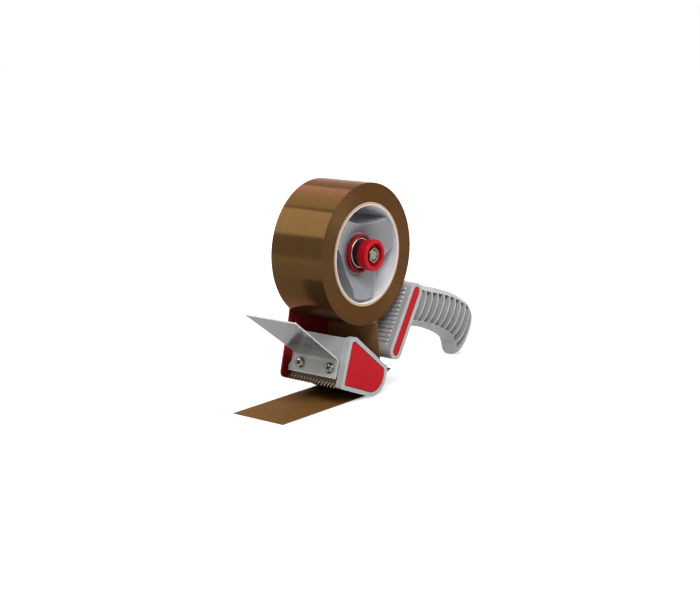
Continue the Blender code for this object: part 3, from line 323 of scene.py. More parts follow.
# Metal with brushed lines, duller in its smudges
brushedMetal = {"smudgeScale": 180.0, "lines": (1500.0, 3.0), "stretch": (1.0, 1.0, 1.0), "dark": 0.72,
                "bump": (0.1, 0.00002)}
screwSteel = {"colour": (0.195, 0.184, 0.158), "roughness": (0.14, 0.28)}
turnedSteel = {"colour": (0.19, 0.178, 0.14), "roughness": (0.16, 0.3)}
drawnSteel = {"colour": (0.34, 0.335, 0.32), "roughness": (0.24, 0.38), "stretch": (1.0, 9.0, 1.0),
              "bump": (0.2, 0.00002)}
wireSteel = {"colour": (0.46, 0.45, 0.43), "roughness": (0.14, 0.26)}


def darker(colour, share):
    return [c * share for c in colour]


def makeMetal(name, own):
    look = {**brushedMetal, **own}
    made, tree, shader = newMaterial(name, Metallic=1.0)
    smudge = useGroup(tree, handling, Scale=look["smudgeScale"])["Smudge"]
    line = addNoise(tree, stretched(tree, objectPlace(tree), look["stretch"]), *look["lines"])
    dull = addMath(tree, "MULTIPLY", smudge, line)
    dress(tree, shader, look, addMix(tree, dull, look["colour"], darker(look["colour"], look["dark"])), line)
    return made


# Wound tape: film across the roll's outside, fine rings of wound layers on its sides
woundTape = {"film": (0.079, 0.042, 0.015), "filmDeep": (0.066, 0.035, 0.012), "side": (0.09, 0.048, 0.021),
             "sideDeep": (0.062, 0.031, 0.013), "specular": 0.08, "tint": (1.0, 0.47, 0.09), "filmMetal": 0.46,
             "sideMetal": 0.7, "roughness": (0.12, 0.18), "sideRoughness": (0.4, 0.48), "grooves": 0.85,
             "sideSpan": (0.5, 0.8), "rings": (5200.0, 3.0), "bands": (420.0, 2.0), "patches": (26.0, 4.0),
             "shares": (0.45, 0.3, 0.25), "toneSpan": (0.36, 0.64), "stretch": (14.0, 420.0, 14.0),
             "streaks": (1.0, 4.0, 0.6), "streakHeight": 0.35, "bump": (0.5, 0.00012)}


def makeWoundTape(name, look):
    made, tree, shader = newMaterial(name, Specular_IOR_Level=look["specular"], Specular_Tint=look["tint"],
                                     Anisotropic=look["grooves"])
    place, _, flat, radius = rollPlace(tree)
    facing = splitPlace(tree, addNode(tree, "ShaderNodeTexCoord").outputs["Normal"])["Y"]
    onSide = spread(tree, addMath(tree, "ABSOLUTE", facing), *look["sideSpan"])
    outwards = vectorMath(tree, "NORMALIZE", "Vector", i0=flat)
    across = addNode(tree, "ShaderNodeMix", {"data_type": "VECTOR"}, i0=onSide, i4=(0.0, 1.0, 0.0),
                     i5=outwards).outputs[1]
    turned = addNode(tree, "ShaderNodeVectorTransform", {"vector_type": "VECTOR", "convert_from": "OBJECT",
                                                         "convert_to": "WORLD"}, i0=across).outputs[0]
    rings, bands = (addRings(tree, radius, *look[key]) for key in ("rings", "bands"))
    ringTone = addShares(tree, *zip((rings, bands, addNoise(tree, place, *look["patches"])), look["shares"]))
    side = addMix(tree, spread(tree, ringTone, *look["toneSpan"]), look["sideDeep"], look["side"])
    streak = addNoise(tree, stretched(tree, place, look["stretch"]), *look["streaks"])
    film = addMix(tree, spread(tree, streak, *noiseSpan), look["filmDeep"], look["film"])
    filmRough = spread(tree, streak, *noiseSpan, *look["roughness"])
    sideRough = spread(tree, rings, *noiseSpan, *look["sideRoughness"])
    height = mixValues(tree, onSide, addMath(tree, "MULTIPLY", streak, look["streakHeight"]), rings)
    feed(tree, shader, Tangent=turned, Base_Color=addMix(tree, onSide, film, side),
         Metallic=spread(tree, onSide, 0.0, 1.0, look["filmMetal"], look["sideMetal"]),
         Roughness=mixValues(tree, onSide, filmRough, sideRough), Normal=addBump(tree, height, *look["bump"]))
    return made


# Dark blade steel, tinted brown as a painted reflection of the tape: the ground flank of each tooth is a bright
# slanting stroke, painted as a highlight
toothSteel = {"steel": (0.055, 0.039, 0.026), "dark": 0.7, "flankHighlight": (0.42, 0.32, 0.24), "pitch": 0.003213,
              "slant": 0.55, "strokeSpan": (0.12, 0.22), "groundSpan": (0.0184, 0.0164), "lines": (1500.0, 3.0),
              "stretch": (1.0, 6.0, 1.0), "roughness": (0.2, 0.34), "bump": (0.15, 0.00002)}


def makeToothSteel(name, look):
    made, tree, shader = newMaterial(name, Metallic=1.0)
    place = objectPlace(tree)
    parts = splitPlace(tree, place)
    leaned = addShares(tree, (parts["Y"], 1.0), (parts["Z"], look["slant"]))
    stroke = addMath(tree, "FRACT", addMath(tree, "DIVIDE", leaned, look["pitch"]))
    stroke = addMath(tree, "ABSOLUTE", addMath(tree, "SUBTRACT", stroke, 0.5))
    # Painted highlight on each tooth's ground flank
    groundHighlight = addMath(tree, "MULTIPLY", spread(tree, stroke, *look["strokeSpan"], 1.0, 0.0),
                     spread(tree, parts["Z"], *look["groundSpan"]))
    line = addNoise(tree, stretched(tree, place, look["stretch"]), *look["lines"])
    # Brown tint of the steel: painted reflection of the tape
    steel = addMix(tree, spread(tree, line, *noiseSpan), look["steel"], darker(look["steel"], look["dark"]))
    dress(tree, shader, look, addMix(tree, groundHighlight, steel, look["flankHighlight"]), line)
    return made


# Card tube: fibres and plies in the card, a plain pale paper liner with a spiral joint in the bore
cardTube = {"card": (0.5, 0.37, 0.25), "cardDeep": (0.38, 0.27, 0.17), "liner": (0.84, 0.82, 0.85),
            "linerDeep": (0.72, 0.71, 0.76), "boreSpan": (0.0387, 0.0385), "spiralPitch": 0.074, "jointWidth": 0.012,
            "jointShare": 0.45, "specular": 0.05, "fibres": (900.0, 5.0, 0.7), "plies": (2600.0, 1.0),
            "shares": (0.6, 0.4), "toneSpan": (0.35, 0.62), "roughness": (0.72, 0.9), "bump": (0.35, 0.0001)}


def makeCard(name, look):
    made, tree, shader = newMaterial(name, Specular_IOR_Level=look["specular"])
    place, parts, _, radius = rollPlace(tree)
    inBore = spread(tree, radius, *look["boreSpan"])
    angle = addMath(tree, "DIVIDE", addMath(tree, "ARCTAN2", parts["Z"], parts["X"]), math.tau)
    turn = addMath(tree, "FRACT", addMath(tree, "ADD", angle, addMath(tree, "DIVIDE", parts["Y"], look["spiralPitch"])))
    fromJoint = addMath(tree, "ABSOLUTE", addMath(tree, "SUBTRACT", turn, 0.5))
    joint = spread(tree, fromJoint, 0.0, look["jointWidth"], 1.0, 0.0)
    fibre = addNoise(tree, place, *look["fibres"])
    grey = addShares(tree, *zip((fibre, addRings(tree, radius, *look["plies"])), look["shares"]))
    card = addMix(tree, spread(tree, grey, *look["toneSpan"]), look["cardDeep"], look["card"])
    paper = addMix(tree, spread(tree, fibre, *noiseSpan), look["linerDeep"], look["liner"])
    paper = addMix(tree, addMath(tree, "MULTIPLY", joint, look["jointShare"]), paper, look["cardDeep"])
    dress(tree, shader, look, addMix(tree, inBore, card, paper), fibre, addMath(tree, "SUBTRACT", fibre, joint))
    return made


# Free tape: film with faint lengthways streaks; its upright run is painted paler, as painted light
freeTape = {"film": (0.135, 0.066, 0.02), "filmDeep": (0.12, 0.058, 0.017), "uprightPaintedLight": (0.34, 0.17, 0.07),
            "uprightPaintedLightSpan": (0.02, 0.04), "specular": 0.002, "tint": (1.0, 0.55, 0.2), "roughness": (0.22, 0.34),
            "stretch": (10.0, 380.0, 10.0), "streaks": (1.0, 4.0), "waves": (45.0, 2.0), "shares": (0.6, 0.4),
            "toneSpan": (0.35, 0.65), "bump": (0.25, 0.00025)}


def makeFreeTape(name, look):
    made, tree, shader = newMaterial(name, Specular_IOR_Level=look["specular"], Specular_Tint=look["tint"])
    place = objectPlace(tree)
    streak = addNoise(tree, stretched(tree, place, look["stretch"]), *look["streaks"])
    tone = addShares(tree, *zip((streak, addNoise(tree, place, *look["waves"])), look["shares"]))
    brown = addMix(tree, spread(tree, tone, *look["toneSpan"]), look["filmDeep"], look["film"])
    # Painted light: paler above this height
    paintedLightUpright = spread(tree, splitPlace(tree, place)["Z"], *look["uprightPaintedLightSpan"])
    dress(tree, shader, look, addMix(tree, paintedLightUpright, brown, look["uprightPaintedLight"]), tone)
    return made


# Clear bent sheet: grey tint, painted paler low down, where the head backs it, as painted light, and pale along the cut
# edges as a painted highlight
# The low and backed colours are painted light, paler towards the bottom; the pale rim is a painted highlight
clearSheet = {"colour": (0.112, 0.114, 0.114), "low": (0.27, 0.27, 0.266), "paintedPaleFade": (0.036, 0.048),
              "paintedPaleBand": (0.42, 0.42, 0.415), "paintedPaleBandSpan": (0.0344, 0.036), "rim": (0.92, 0.91, 0.9),
              "alpha": (0.89, 0.97), "roughness": (0.07, 0.2), "specular": 0.2, "ior": 1.49, "smudgeScale": 50.0,
              "scratchScale": 260.0, "scratchShine": 0.1, "bump": (0.08, 0.00002), "edge": 0.0012, "worn": (0.01, 0.09),
              "breakup": 0.05}


def makeClearSheet(name, look):
    made, tree, shader = newMaterial(name, Specular_IOR_Level=look["specular"], IOR=look["ior"])
    marks = useGroup(tree, handling, Scale=look["smudgeScale"], Scratch_Scale=look["scratchScale"])
    paintedEdgeHighlight = addEdgeWearAndPaintedLight(tree, look)
    height = splitPlace(tree, objectPlace(tree))["Z"]
    # Painted light: paler towards the bottom
    clear = addMix(tree, spread(tree, height, *look["paintedPaleFade"]), look["low"], look["colour"])
    tone = addMix(tree, spread(tree, height, *look["paintedPaleBandSpan"]), look["paintedPaleBand"], clear)
    # Painted highlight along the cut edges
    dressHandled(tree, shader, look, addMix(tree, paintedEdgeHighlight, tone, look["rim"]), marks)
    feed(tree, shader, Alpha=spread(tree, paintedEdgeHighlight, 0.0, 1.0, *look["alpha"]))
    return made


# Powder coat: orange peel, small chips at the edges
powderRed = {"colour": (0.25, 0.0075, 0.011), "deep": (0.175, 0.005, 0.008), "chip": (0.3, 0.29, 0.28),
             "chipShare": 0.55, "specular": 0.12, "peel": (1300.0, 2.0), "clouds": (30.0, 5.0), "roughness": (0.3, 0.42),
             "bump": (0.3, 0.00006), "edge": 0.0004, "worn": (0.12, 0.3), "breakup": 1.0, "wearScale": 380.0}


def makePowder(name, look):
    made, tree, shader = newMaterial(name, Specular_IOR_Level=look["specular"])
    place = objectPlace(tree)
    peel = addNoise(tree, place, *look["peel"])
    cloud = spread(tree, addNoise(tree, place, *look["clouds"]), *noiseSpan)
    tone = addMix(tree, cloud, look["deep"], look["colour"])
    chipped = addMath(tree, "MULTIPLY", addEdgeWearAndPaintedLight(tree, look, Scale=look["wearScale"]), look["chipShare"])
    dress(tree, shader, look, addMix(tree, chipped, tone, look["chip"]), peel)
    return made


# Black rubber, black plastic and dark fibre: matt, with pale dust in the grain
dustyBlack = {"specular": 0.15, "cloudScale": 70.0, "dustSpan": (0.4, 1.0), "dustShare": 0.35, "bumpStrength": 0.4}
rubberBlack = {"colour": (0.01, 0.01, 0.011), "dust": (0.06, 0.058, 0.055), "roughness": (0.55, 0.75),
               "grainScale": 1600.0, "depth": 0.0001}
plasticBlack = {"colour": (0.012, 0.014, 0.014), "dust": (0.05, 0.05, 0.05), "roughness": (0.35, 0.5),
                "grainScale": 2400.0, "depth": 0.00004}
fibreDark = {"colour": (0.045, 0.043, 0.04), "dust": (0.12, 0.115, 0.11), "roughness": (0.8, 0.95),
             "grainScale": 1100.0, "depth": 0.00015}


def makeBlack(name, own):
    look = {**dustyBlack, **own}
    made, tree, shader = newMaterial(name, Specular_IOR_Level=look["specular"])
    grain = useGroup(tree, mouldGrain, Scale=look["grainScale"], Cloud_Scale=look["cloudScale"])
    dusty = addMath(tree, "MULTIPLY", spread(tree, grain["Cloud"], *look["dustSpan"]), look["dustShare"])
    feed(tree, shader, Base_Color=addMix(tree, dusty, look["colour"], look["dust"]),
         Roughness=spread(tree, grain["Shine"], *shineSpan, *look["roughness"]),
         Normal=addBump(tree, grain["Height"], look["bumpStrength"], look["depth"]))
    return made


finishLooks = {
    "greyMoulding": (makeMoulded, mouldedGrey),
    "greyHubPaintedShade": (makeMoulded, hubGreyInPaintedShade),
    "redInset": (makeSmooth, insetRed),
    "redKnob": (makeSmooth, knobRed),
    "redCup": (makeSmooth, cupRed),
    "redPlate": (makePowder, powderRed),
    "clearFlap": (makeClearSheet, clearSheet),
    "brownTape": (makeWoundTape, woundTape),
    "brownFilm": (makeFreeTape, freeTape),
    "cardCore": (makeCard, cardTube),
    "blackRubber": (makeBlack, rubberBlack),
    "blackPlastic": (makeBlack, plasticBlack),
    "darkFibre": (makeBlack, fibreDark),
    "paleHighlight": (makeSmooth, highlightPale),
    "palePlastic": (makeSmooth, plasticPale),
    "brightSteel": (makeMetal, screwSteel),
    "nutSteel": (makeMetal, turnedSteel),
    "axleSteel": (makeMetal, drawnSteel),
    "springSteel": (makeMetal, wireSteel),
    "bladeSteel": (makeToothSteel, toothSteel),
}
finishes = {name: make(name, look) for name, (make, look) in finishLooks.items()}
print("finishes made:", len(finishes))


# Solids that stay: welded, edges softened, smooth shading, a full finish
skin = {"weld": 0.000004, "flat": math.radians(0.5), "sharp": math.radians(32), "segments": 2}


def makeWeldGroup():
    group, given, put = newGroup("weldSkin", {}, kind="GeometryNodeTree")
    forget = addNode(group, "GeometryNodeRemoveAttribute", Geometry=given["Geometry"], Name="custom_normal")
    weld = addNode(group, "GeometryNodeMergeByDistance", Geometry=forget.outputs["Geometry"], Distance=skin["weld"])
    group.links.new(weld.outputs["Geometry"], put["Geometry"])
    return group


def makeSmoothGroup():
    group, given, put = newGroup("smoothByAngle", {"Angle": skin["sharp"]}, kind="GeometryNodeTree")
    angle = addNode(group, "GeometryNodeInputMeshEdgeAngle").outputs["Unsigned Angle"]
    below = addNode(group, "FunctionNodeCompare", {"operation": "LESS_EQUAL"}, i0=angle, i1=given["Angle"]).outputs[0]
    edges = addNode(group, "GeometryNodeSetShadeSmooth", {"domain": "EDGE"}, Geometry=given["Geometry"],
                    Shade_Smooth=below)
    faces = addNode(group, "GeometryNodeSetShadeSmooth", Geometry=edges.outputs[0])
    group.links.new(faces.outputs[0], put["Geometry"])
    return group


weldSkin = makeWeldGroup()
smoothByAngle = makeSmoothGroup()


def soften(piece, width):
    piece.modifiers.new("weld", "NODES").node_group = weldSkin
    flat = piece.modifiers.new("flat", "DECIMATE")
    flat.decimate_type = "DISSOLVE"
    flat.angle_limit = skin["flat"]
    if width:
        edge = piece.modifiers.new("edge", "BEVEL")
        edge.width = width
        edge.segments = skin["segments"]
        edge.limit_method = "ANGLE"
        edge.angle_limit = skin["sharp"]
        edge.use_clamp_overlap = True
    piece.modifiers.new("smooth", "NODES").node_group = smoothByAngle
    if width:
        piece.modifiers.new("level", "WEIGHTED_NORMAL").keep_sharp = True


# node: finish, width of the softened edge
carriedNodes = {
    "side_plate": ("redPlate", 0.0003),
    "handle_moulding": ("greyMoulding", 0.0004),
    "beam_panel": ("redInset", 0.0003),
    "cheek_panel": ("redInset", 0.0003),
    "wiper_flap": ("clearFlap", 0.00015),
    "roller_axle": ("axleSteel", 0.0003),
    "stop_pin": ("axleSteel", 0.0002),
    "friction_washer": ("darkFibre", 0.0),
    "tape_lead": ("brownFilm", 0.0),
    "tape_roll": ("brownTape", 0.0003),
    "roll_core": ("cardCore", 0.0002),
    "core_hub": ("greyHubPaintedShade", 0.0003),
    "thrust_washer": ("brightSteel", 0.00015),
    "roller_sleeve": ("blackRubber", 0.0003),
    "roller_core": ("palePlastic", 0.0002),
    "tape_stop": ("blackPlastic", 0.0002),
}
for name, (finish, width) in carriedNodes.items():
    piece = nodes[name]
    piece.data.materials.clear()
    piece.data.materials.append(finishes[finish])
    soften(piece, width)
print("carried-over nodes dressed:", len(carriedNodes))


# Helpers for the pieces that are made here

def takeMesh(made, mesh):
    made.to_mesh(mesh)
    made.free()
    return mesh


def meshFrom(points, faces):
    mesh = bpy.data.meshes.new("made")
    mesh.from_pydata([tuple(p) for p in points], [], faces)
    made = bmesh.new()
    made.from_mesh(mesh)
    bmesh.ops.recalc_face_normals(made, faces=made.faces)
    return takeMesh(made, mesh)


def ringFaces(count, sides, closed=False):
    faces = []
    for i in range(count if closed else count - 1):
        here, there = i * sides, (i + 1) % count * sides
        faces += [(here + k, here + (k + 1) % sides, there + (k + 1) % sides, there + k) for k in range(sides)]
    return faces


# The same with both ends closed
def closedFaces(count, sides):
    last = (count - 1) * sides
    return ringFaces(count, sides) + [tuple(range(sides))[::-1], tuple(range(last, last + sides))]


# Cosine and sine at each step of a quarter turn
def quarterTurn(steps):
    return [(math.cos(math.pi / 2 * i / steps), math.sin(math.pi / 2 * i / steps)) for i in range(steps + 1)]


# A round wire along a path
def wireMesh(path, radius, sides=12):
    points, side = [], None
    for i, place in enumerate(path):
        ahead = (path[min(i + 1, len(path) - 1)] - path[max(i - 1, 0)]).normalized()
        side = (side - ahead * side.dot(ahead)).normalized() if side else ahead.orthogonal().normalized()
        across = ahead.cross(side)
        for k in range(sides):
            turn = math.tau * k / sides
            points.append(place + (side * math.cos(turn) + across * math.sin(turn)) * radius)
    return meshFrom(points, closedFaces(len(path), sides))


def turnedPoints(profile, sides):
    turns = [math.tau * k / sides for k in range(sides)]
    return [(r * math.cos(turn), r * math.sin(turn), h) for r, h in profile for turn in turns]


# On the axis a turned profile keeps this radius, so that its faces stay apart
leastRadius = 0.000002


# Turned about +Z from a profile of (radius, height) that starts and ends on the axis
def turnedMesh(profile, sides=40):
    points = turnedPoints([(max(r, leastRadius), h) for r, h in profile], sides)
    return meshFrom(points, closedFaces(len(profile), sides))


# The same round a hole: the profile is a closed outline of (radius, height)
def turnedRing(profile, sides=72):
    return meshFrom(turnedPoints(profile, sides), ringFaces(len(profile), sides, True))


# An outline of (x, y) points between two heights
def slabMesh(outline, low, high):
    return meshFrom([(x, y, z) for z in (low, high) for x, y in outline], closedFaces(2, len(outline)))


def putObject(name, data):
    made = bpy.data.objects.new(name, data)
    scene.collection.objects.link(made)
    return made


# A mesh less the cutters
def cutAway(mesh, cutters):
    body = putObject("cutBody", mesh)
    tools = [putObject("cutTool", cutter) for cutter in cutters]
    for tool in tools:
        step = body.modifiers.new("cut", "BOOLEAN")
        step.operation = "DIFFERENCE"
        step.object = tool
    bpy.context.view_layer.update()
    made = bpy.data.meshes.new_from_object(body.evaluated_get(bpy.context.evaluated_depsgraph_get()))
    for old in [body, *tools]:
        bpy.data.objects.remove(old)
    return made


# Turns +Z into a direction and moves the origin to a place
def uprightTo(direction, place):
    return Matrix.Translation(place) @ Vector(direction).to_track_quat("Z", "Y").to_matrix().to_4x4()


def axesMatrix(*axes):
    return Matrix(axes).transposed().to_4x4()


# On the roll's axis, facing the near side
def onRollAxis(y):
    return uprightTo((0, -1, 0), (rollAxis.x, y, rollAxis.z))


def addPiece(name, mesh, finish, body, stands=(), edge=0.0, matrix=None):
    if matrix is not None:
        mesh.transform(matrix)
    mesh.name = name
    mesh.materials.clear()
    mesh.materials.append(finishes[finish])
    piece = putObject(name, mesh)
    soften(piece, edge)
    if body:
        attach(piece, body)
    if stands:
        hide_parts(*stands)
    return piece


# A cutter for the front face: an outline of (y, up) points between two distances out of the face
def faceCutter(outline, back, front):
    points = [facePoint(y, up, out) for out in (back, front) for y, up in outline]
    return meshFrom(points, closedFaces(2, len(outline)))


def weldedCopy(name):
    made = bmesh.new()
    made.from_mesh(nodes[name].data)
    bmesh.ops.remove_doubles(made, verts=made.verts, dist=skin["weld"])
    return takeMesh(made, bpy.data.meshes.new("made"))


# Head housing: the far side of its front panel is drawn in behind the flap's neck
headPanel = {"drawnIn": ((0.0262, 0.0098), (0.0243, 0.0108), (0.0196, 0.0206), (0.0186, 0.03), (0.0186, 0.04),
                         (0.0262, 0.04)),
             "lip": ((0.0186, 0.0335), (0.0186, 0.04), (0.0262, 0.04), (0.0262, 0.0335)),
             "back": -0.0043, "lipBack": -0.009, "front": 0.001, "edge": 0.0004}


def makeHeadHousing(look):
    cutters = [faceCutter(look["drawnIn"], look["back"], look["front"]),
               faceCutter(look["lip"], look["lipBack"], look["front"])]
    mesh = cutAway(weldedCopy("head_housing"), cutters)
    addPiece("headHousing", mesh, "greyMoulding", "frame", ["head_housing"], look["edge"])


makeHeadHousing(headPanel)

# Screws: a domed pan head with a tapered cross recess, and a threaded shank with a narrower tip
panScrew = {"seatShare": 0.28, "crown": 10, "fullness": 0.8, "foot": (0.96, 0.06), "crossLong": 0.62, "crossWide": 0.17,
            "crossDeep": 0.62, "crossAbove": 0.3, "taper": 0.45, "threadPitch": 0.0007, "threadDeep": 0.00022, "tip": 0.6,
            "edge": 0.00008}


def screwMesh(look, headRadius, head, shankRadius, shank):
    pitch, root = look["threadPitch"], shankRadius - look["threadDeep"]
    profile = [(0.0, -shank), (shankRadius * look["tip"], -shank)]
    height = -shank + pitch
    while height < -pitch:
        profile += [(root, height), (shankRadius, height + pitch / 2)]
        height += pitch
    footRadius, footHeight = look["foot"]
    profile += [(root, 0.0), (headRadius * footRadius, 0.0), (headRadius, head * footHeight)]
    seat = head * look["seatShare"]
    for across, up in quarterTurn(look["crown"]):
        profile.append((headRadius * across ** look["fullness"], seat + (head - seat) * up))
    cutters = []
    reach, wide, deep = (headRadius * look[key] for key in ("crossLong", "crossWide", "crossDeep"))
    for longX, longY in ((reach, wide), (wide, reach)):
        points = [(x * longX * share, y * longY * share, z)
                  for share, z in ((look["taper"], head - deep), (1.0, head + deep * look["crossAbove"]))
                  for x, y in ((-1, -1), (1, -1), (1, 1), (-1, 1))]
        cutters.append(meshFrom(points, closedFaces(2, 4)))
    return cutAway(turnedMesh(profile), cutters)


def addScrew(name, sizes, matrix):
    addPiece(name + ".cross", screwMesh(panScrew, *sizes), "brightSteel", "frame", [name],
             panScrew["edge"], matrix)


flapScrews = {"up": 0.0139, "near": -0.0166, "far": 0.0132, "seat": 0.0003, "turned": {"near": 0.5, "far": 1.1},
              "headRadius": 0.0041, "head": 0.0024, "shankRadius": 0.0015, "shank": 0.0067}
for end, turned in flapScrews["turned"].items():
    place = uprightTo(faceOut, facePoint(flapScrews[end], flapScrews["up"], flapScrews["seat"]))
    addScrew("flap_screw_" + end, [flapScrews[key] for key in ("headRadius", "head", "shankRadius", "shank")],
             place @ Matrix.Rotation(turned, 4, "Z"))

plateScrews = {"names": ("beam_screw_low", "beam_screw_high", "head_screw_low", "head_screw_high"), "headRadius": 0.0038,
               "head": 0.002, "shankRadius": 0.002, "seatY": 0.0288, "turned": 0.4, "turnedMore": 0.7}
for index, name in enumerate(plateScrews["names"]):
    low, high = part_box(name)
    sizes = [*(plateScrews[key] for key in ("headRadius", "head", "shankRadius")), plateScrews["seatY"] - low[1]]
    place = uprightTo((0, 1, 0), ((low[0] + high[0]) / 2, plateScrews["seatY"], (low[2] + high[2]) / 2))
    addScrew(name, sizes, place @ Matrix.Rotation(plateScrews["turned"] + plateScrews["turnedMore"] * index, 4, "Z"))


# Coils, with their end turns closed up as on a real spring
def coilPath(centre, radius, turns, start, end, closed=0.75, perTurn=40, lastRadius=None):
    count = round(turns * perTurn)
    path = []
    for i in range(count + 1):
        turn = turns * i / count
        share = min(max((turn - closed / 2) / (turns - closed), 0.0), 1.0)
        angle = math.tau * turn
        reach = radius + ((lastRadius or radius) - radius) * share
        path.append(Vector((centre.x + reach * math.cos(angle), start + (end - start) * share,
                            centre.z + reach * math.sin(angle))))
    return path


tensionCoil = {"radius": 0.0119, "lastRadius": 0.006, "wire": 0.001, "turns": 2.25, "seat": -0.017,
               "front": -0.022, "keep": 0.74}


def makeTensionCoil(look):
    half = look["wire"] / 2
    path = coilPath(rollAxis, look["radius"], look["turns"], look["seat"] - half, look["front"] + half,
                    lastRadius=look["lastRadius"])
    coil = addPiece("tensionCoil", wireMesh(path, half), "springSteel", "frame",
                    ["tension_spring"])
    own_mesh(coil)


makeTensionCoil(tensionCoil)

stopCoil = {"radius": 0.0026, "wire": 0.0006, "turns": 4.0, "closed": 0.3, "near": 0.019, "far": 0.0267, "leg": 0.0042,
            "legSteps": (0.25, 0.5, 0.75, 1.0)}


def makeStopCoil(look):
    half = look["wire"] / 2
    coil = coilPath(stopAxis, look["radius"], look["turns"], look["near"] + half, look["far"] - half,
                    look["closed"])
    leg = Vector((0.0, 0.0, look["leg"]))
    lowLeg = [coil[0] - leg * share for share in look["legSteps"][::-1]]
    highLeg = [coil[-1] + leg * share for share in look["legSteps"]]
    wire = addPiece("stopCoil", wireMesh(lowLeg + coil + highLeg, half), "springSteel", None,
                    ["stop_spring"])
    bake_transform(wire)


makeStopCoil(stopCoil)

# Brake cup with a groove round its rolled rim, which is (radius, depth below the top) points
brakeCup = {"bore": 0.0043, "radius": 0.0152, "foot": 0.0005, "inner": 0.0128, "floor": 0.0013, "edge": 0.00012,
            "rim": ((0.0152, 0.0005), (0.01505, 0.00015), (0.0147, 0.00005), (0.0141, 0.0003), (0.0136, 0.0),
                    (0.0132, 0.0002), (0.0131, 0.0005))}


def makeBrakeCup(look):
    low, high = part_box("brake_cup")
    profile = [(look["bore"], 0.0), (look["radius"] - look["foot"], 0.0), (look["radius"], look["foot"])]
    profile += [(radius, high[1] - low[1] - below) for radius, below in look["rim"]]
    profile += [(look["inner"], look["floor"]), (look["bore"], look["floor"])]
    addPiece("brakeCup", turnedRing(profile), "redCup", "roll", ["brake_cup"], look["edge"],
             onRollAxis(high[1]))


makeBrakeCup(brakeCup)

# Knob with a dished face
tensionKnob = {"bore": 0.005, "radius": 0.0125, "round": 0.0013, "recess": 0.009, "dish": 0.0008, "seat": 0.0042,
               "taper": 0.0008, "chamfer": 0.0005, "draft": 0.0003, "steps": 6}


def makeTensionKnob(look):
    low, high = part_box("tension_knob")
    long, bend, dish = high[1] - low[1], look["round"], look["dish"]
    foot, arc = look["radius"] - look["taper"], quarterTurn(look["steps"])
    profile = [(look["bore"], 0.0), (foot - look["chamfer"], 0.0), (foot, look["chamfer"])]
    profile += [(look["radius"] - bend + bend * across, long - bend + bend * up) for across, up in arc]
    profile += [(look["recess"] + dish * (1 - up), long - dish * (1 - across)) for across, up in arc]
    profile += [(look["recess"] - look["draft"], look["seat"]), (look["bore"], look["seat"])]
    addPiece("tensionKnob", turnedRing(profile), "redKnob", "knob", ["tension_knob"],
             matrix=onRollAxis(high[1]))


makeTensionKnob(tensionKnob)

# Hexagon nut with turned-off corners, moulded in the knob
knobNut = {"across": 0.0108, "bore": 0.0043, "land": 0.93, "slope": 0.5, "chamfer": 0.0004, "sides": 96}


def makeKnobNut(look):
    low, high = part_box("knob_nut")
    height, half, bore, chamfer = high[1] - low[1], look["across"] / 2, look["bore"], look["chamfer"]
    land = half * look["land"]
    rims = []
    for k in range(look["sides"]):
        turn = math.tau * k / look["sides"]
        hexed = half / math.cos((turn + math.pi / 6) % (math.pi / 3) - math.pi / 6)
        rim = [(bore, 0.0), (hexed, 0.0), (hexed, height - (hexed - land) * look["slope"]), (land, height),
               (bore + chamfer, height), (bore, height - chamfer)]
        rims.append([(r * math.cos(turn), r * math.sin(turn), h) for r, h in rim])
    points = [point for ring in zip(*rims) for point in ring]
    mesh = meshFrom(points, ringFaces(len(rims[0]), look["sides"], True))
    addPiece("knobNut", mesh, "nutSteel", "knob", ["knob_nut"], matrix=onRollAxis(high[1]))


makeKnobNut(knobNut)

# Spindle: a dished head behind the plate, a collar and a chamfered near end; headEnd is (radius, height) points
hubSpindle = {"radius": 0.004, "headLong": 0.0032, "collar": 0.009, "collarFrom": 0.025, "collarTo": 0.0266,
              "headEnd": ((0.0, 0.0006), (0.0026, 0.0006), (0.0034, 0.0), (0.0063, 0.0), (0.0071, 0.0003),
                          (0.0075, 0.0009), (0.0075, 0.0032)),
              "chamfer": 0.0006, "sides": 56, "edge": 0.0001}


def makeHubSpindle(look):
    low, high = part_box("hub_spindle")
    far, long = high[1], high[1] - low[1]
    body, collar, chamfer = look["radius"], look["collar"], look["chamfer"]
    near, away = far - look["collarTo"], far - look["collarFrom"]
    profile = [*look["headEnd"], (body, look["headLong"]), (body, near), (collar, near), (collar, away), (body, away),
               (body, long - chamfer), (body - chamfer, long), (0.0, long)]
    addPiece("hubSpindle", turnedMesh(profile, look["sides"]), "nutSteel", "frame",
             ["hub_spindle"], look["edge"], onRollAxis(far))


makeHubSpindle(hubSpindle)

# Thread on the near end of the spindle
spindleThread = {"radius": 0.00396, "ridge": 0.00024, "pitch": 0.00125, "from": -0.0302, "to": -0.0165, "perTurn": 32,
                 "sides": 6}


def makeSpindleThread(look):
    turns = (look["to"] - look["from"]) / look["pitch"]
    path = coilPath(rollAxis, look["radius"], turns, look["from"], look["to"], 0.0, look["perTurn"])
    thread = wireMesh(path, look["ridge"], look["sides"])
    addPiece("spindleThread", thread, "axleSteel", "frame")


makeSpindleThread(spindleThread)

# Open retaining clip with three lugs that reach the axle; its angles are in degrees
axleClip = {"outer": 0.006, "inner": 0.0046, "lug": 0.0033, "lugHalf": 13.0, "lugs": (-52.0, 90.0, 232.0), "mouth": 35.0,
            "steps": 96, "edge": 0.00012}


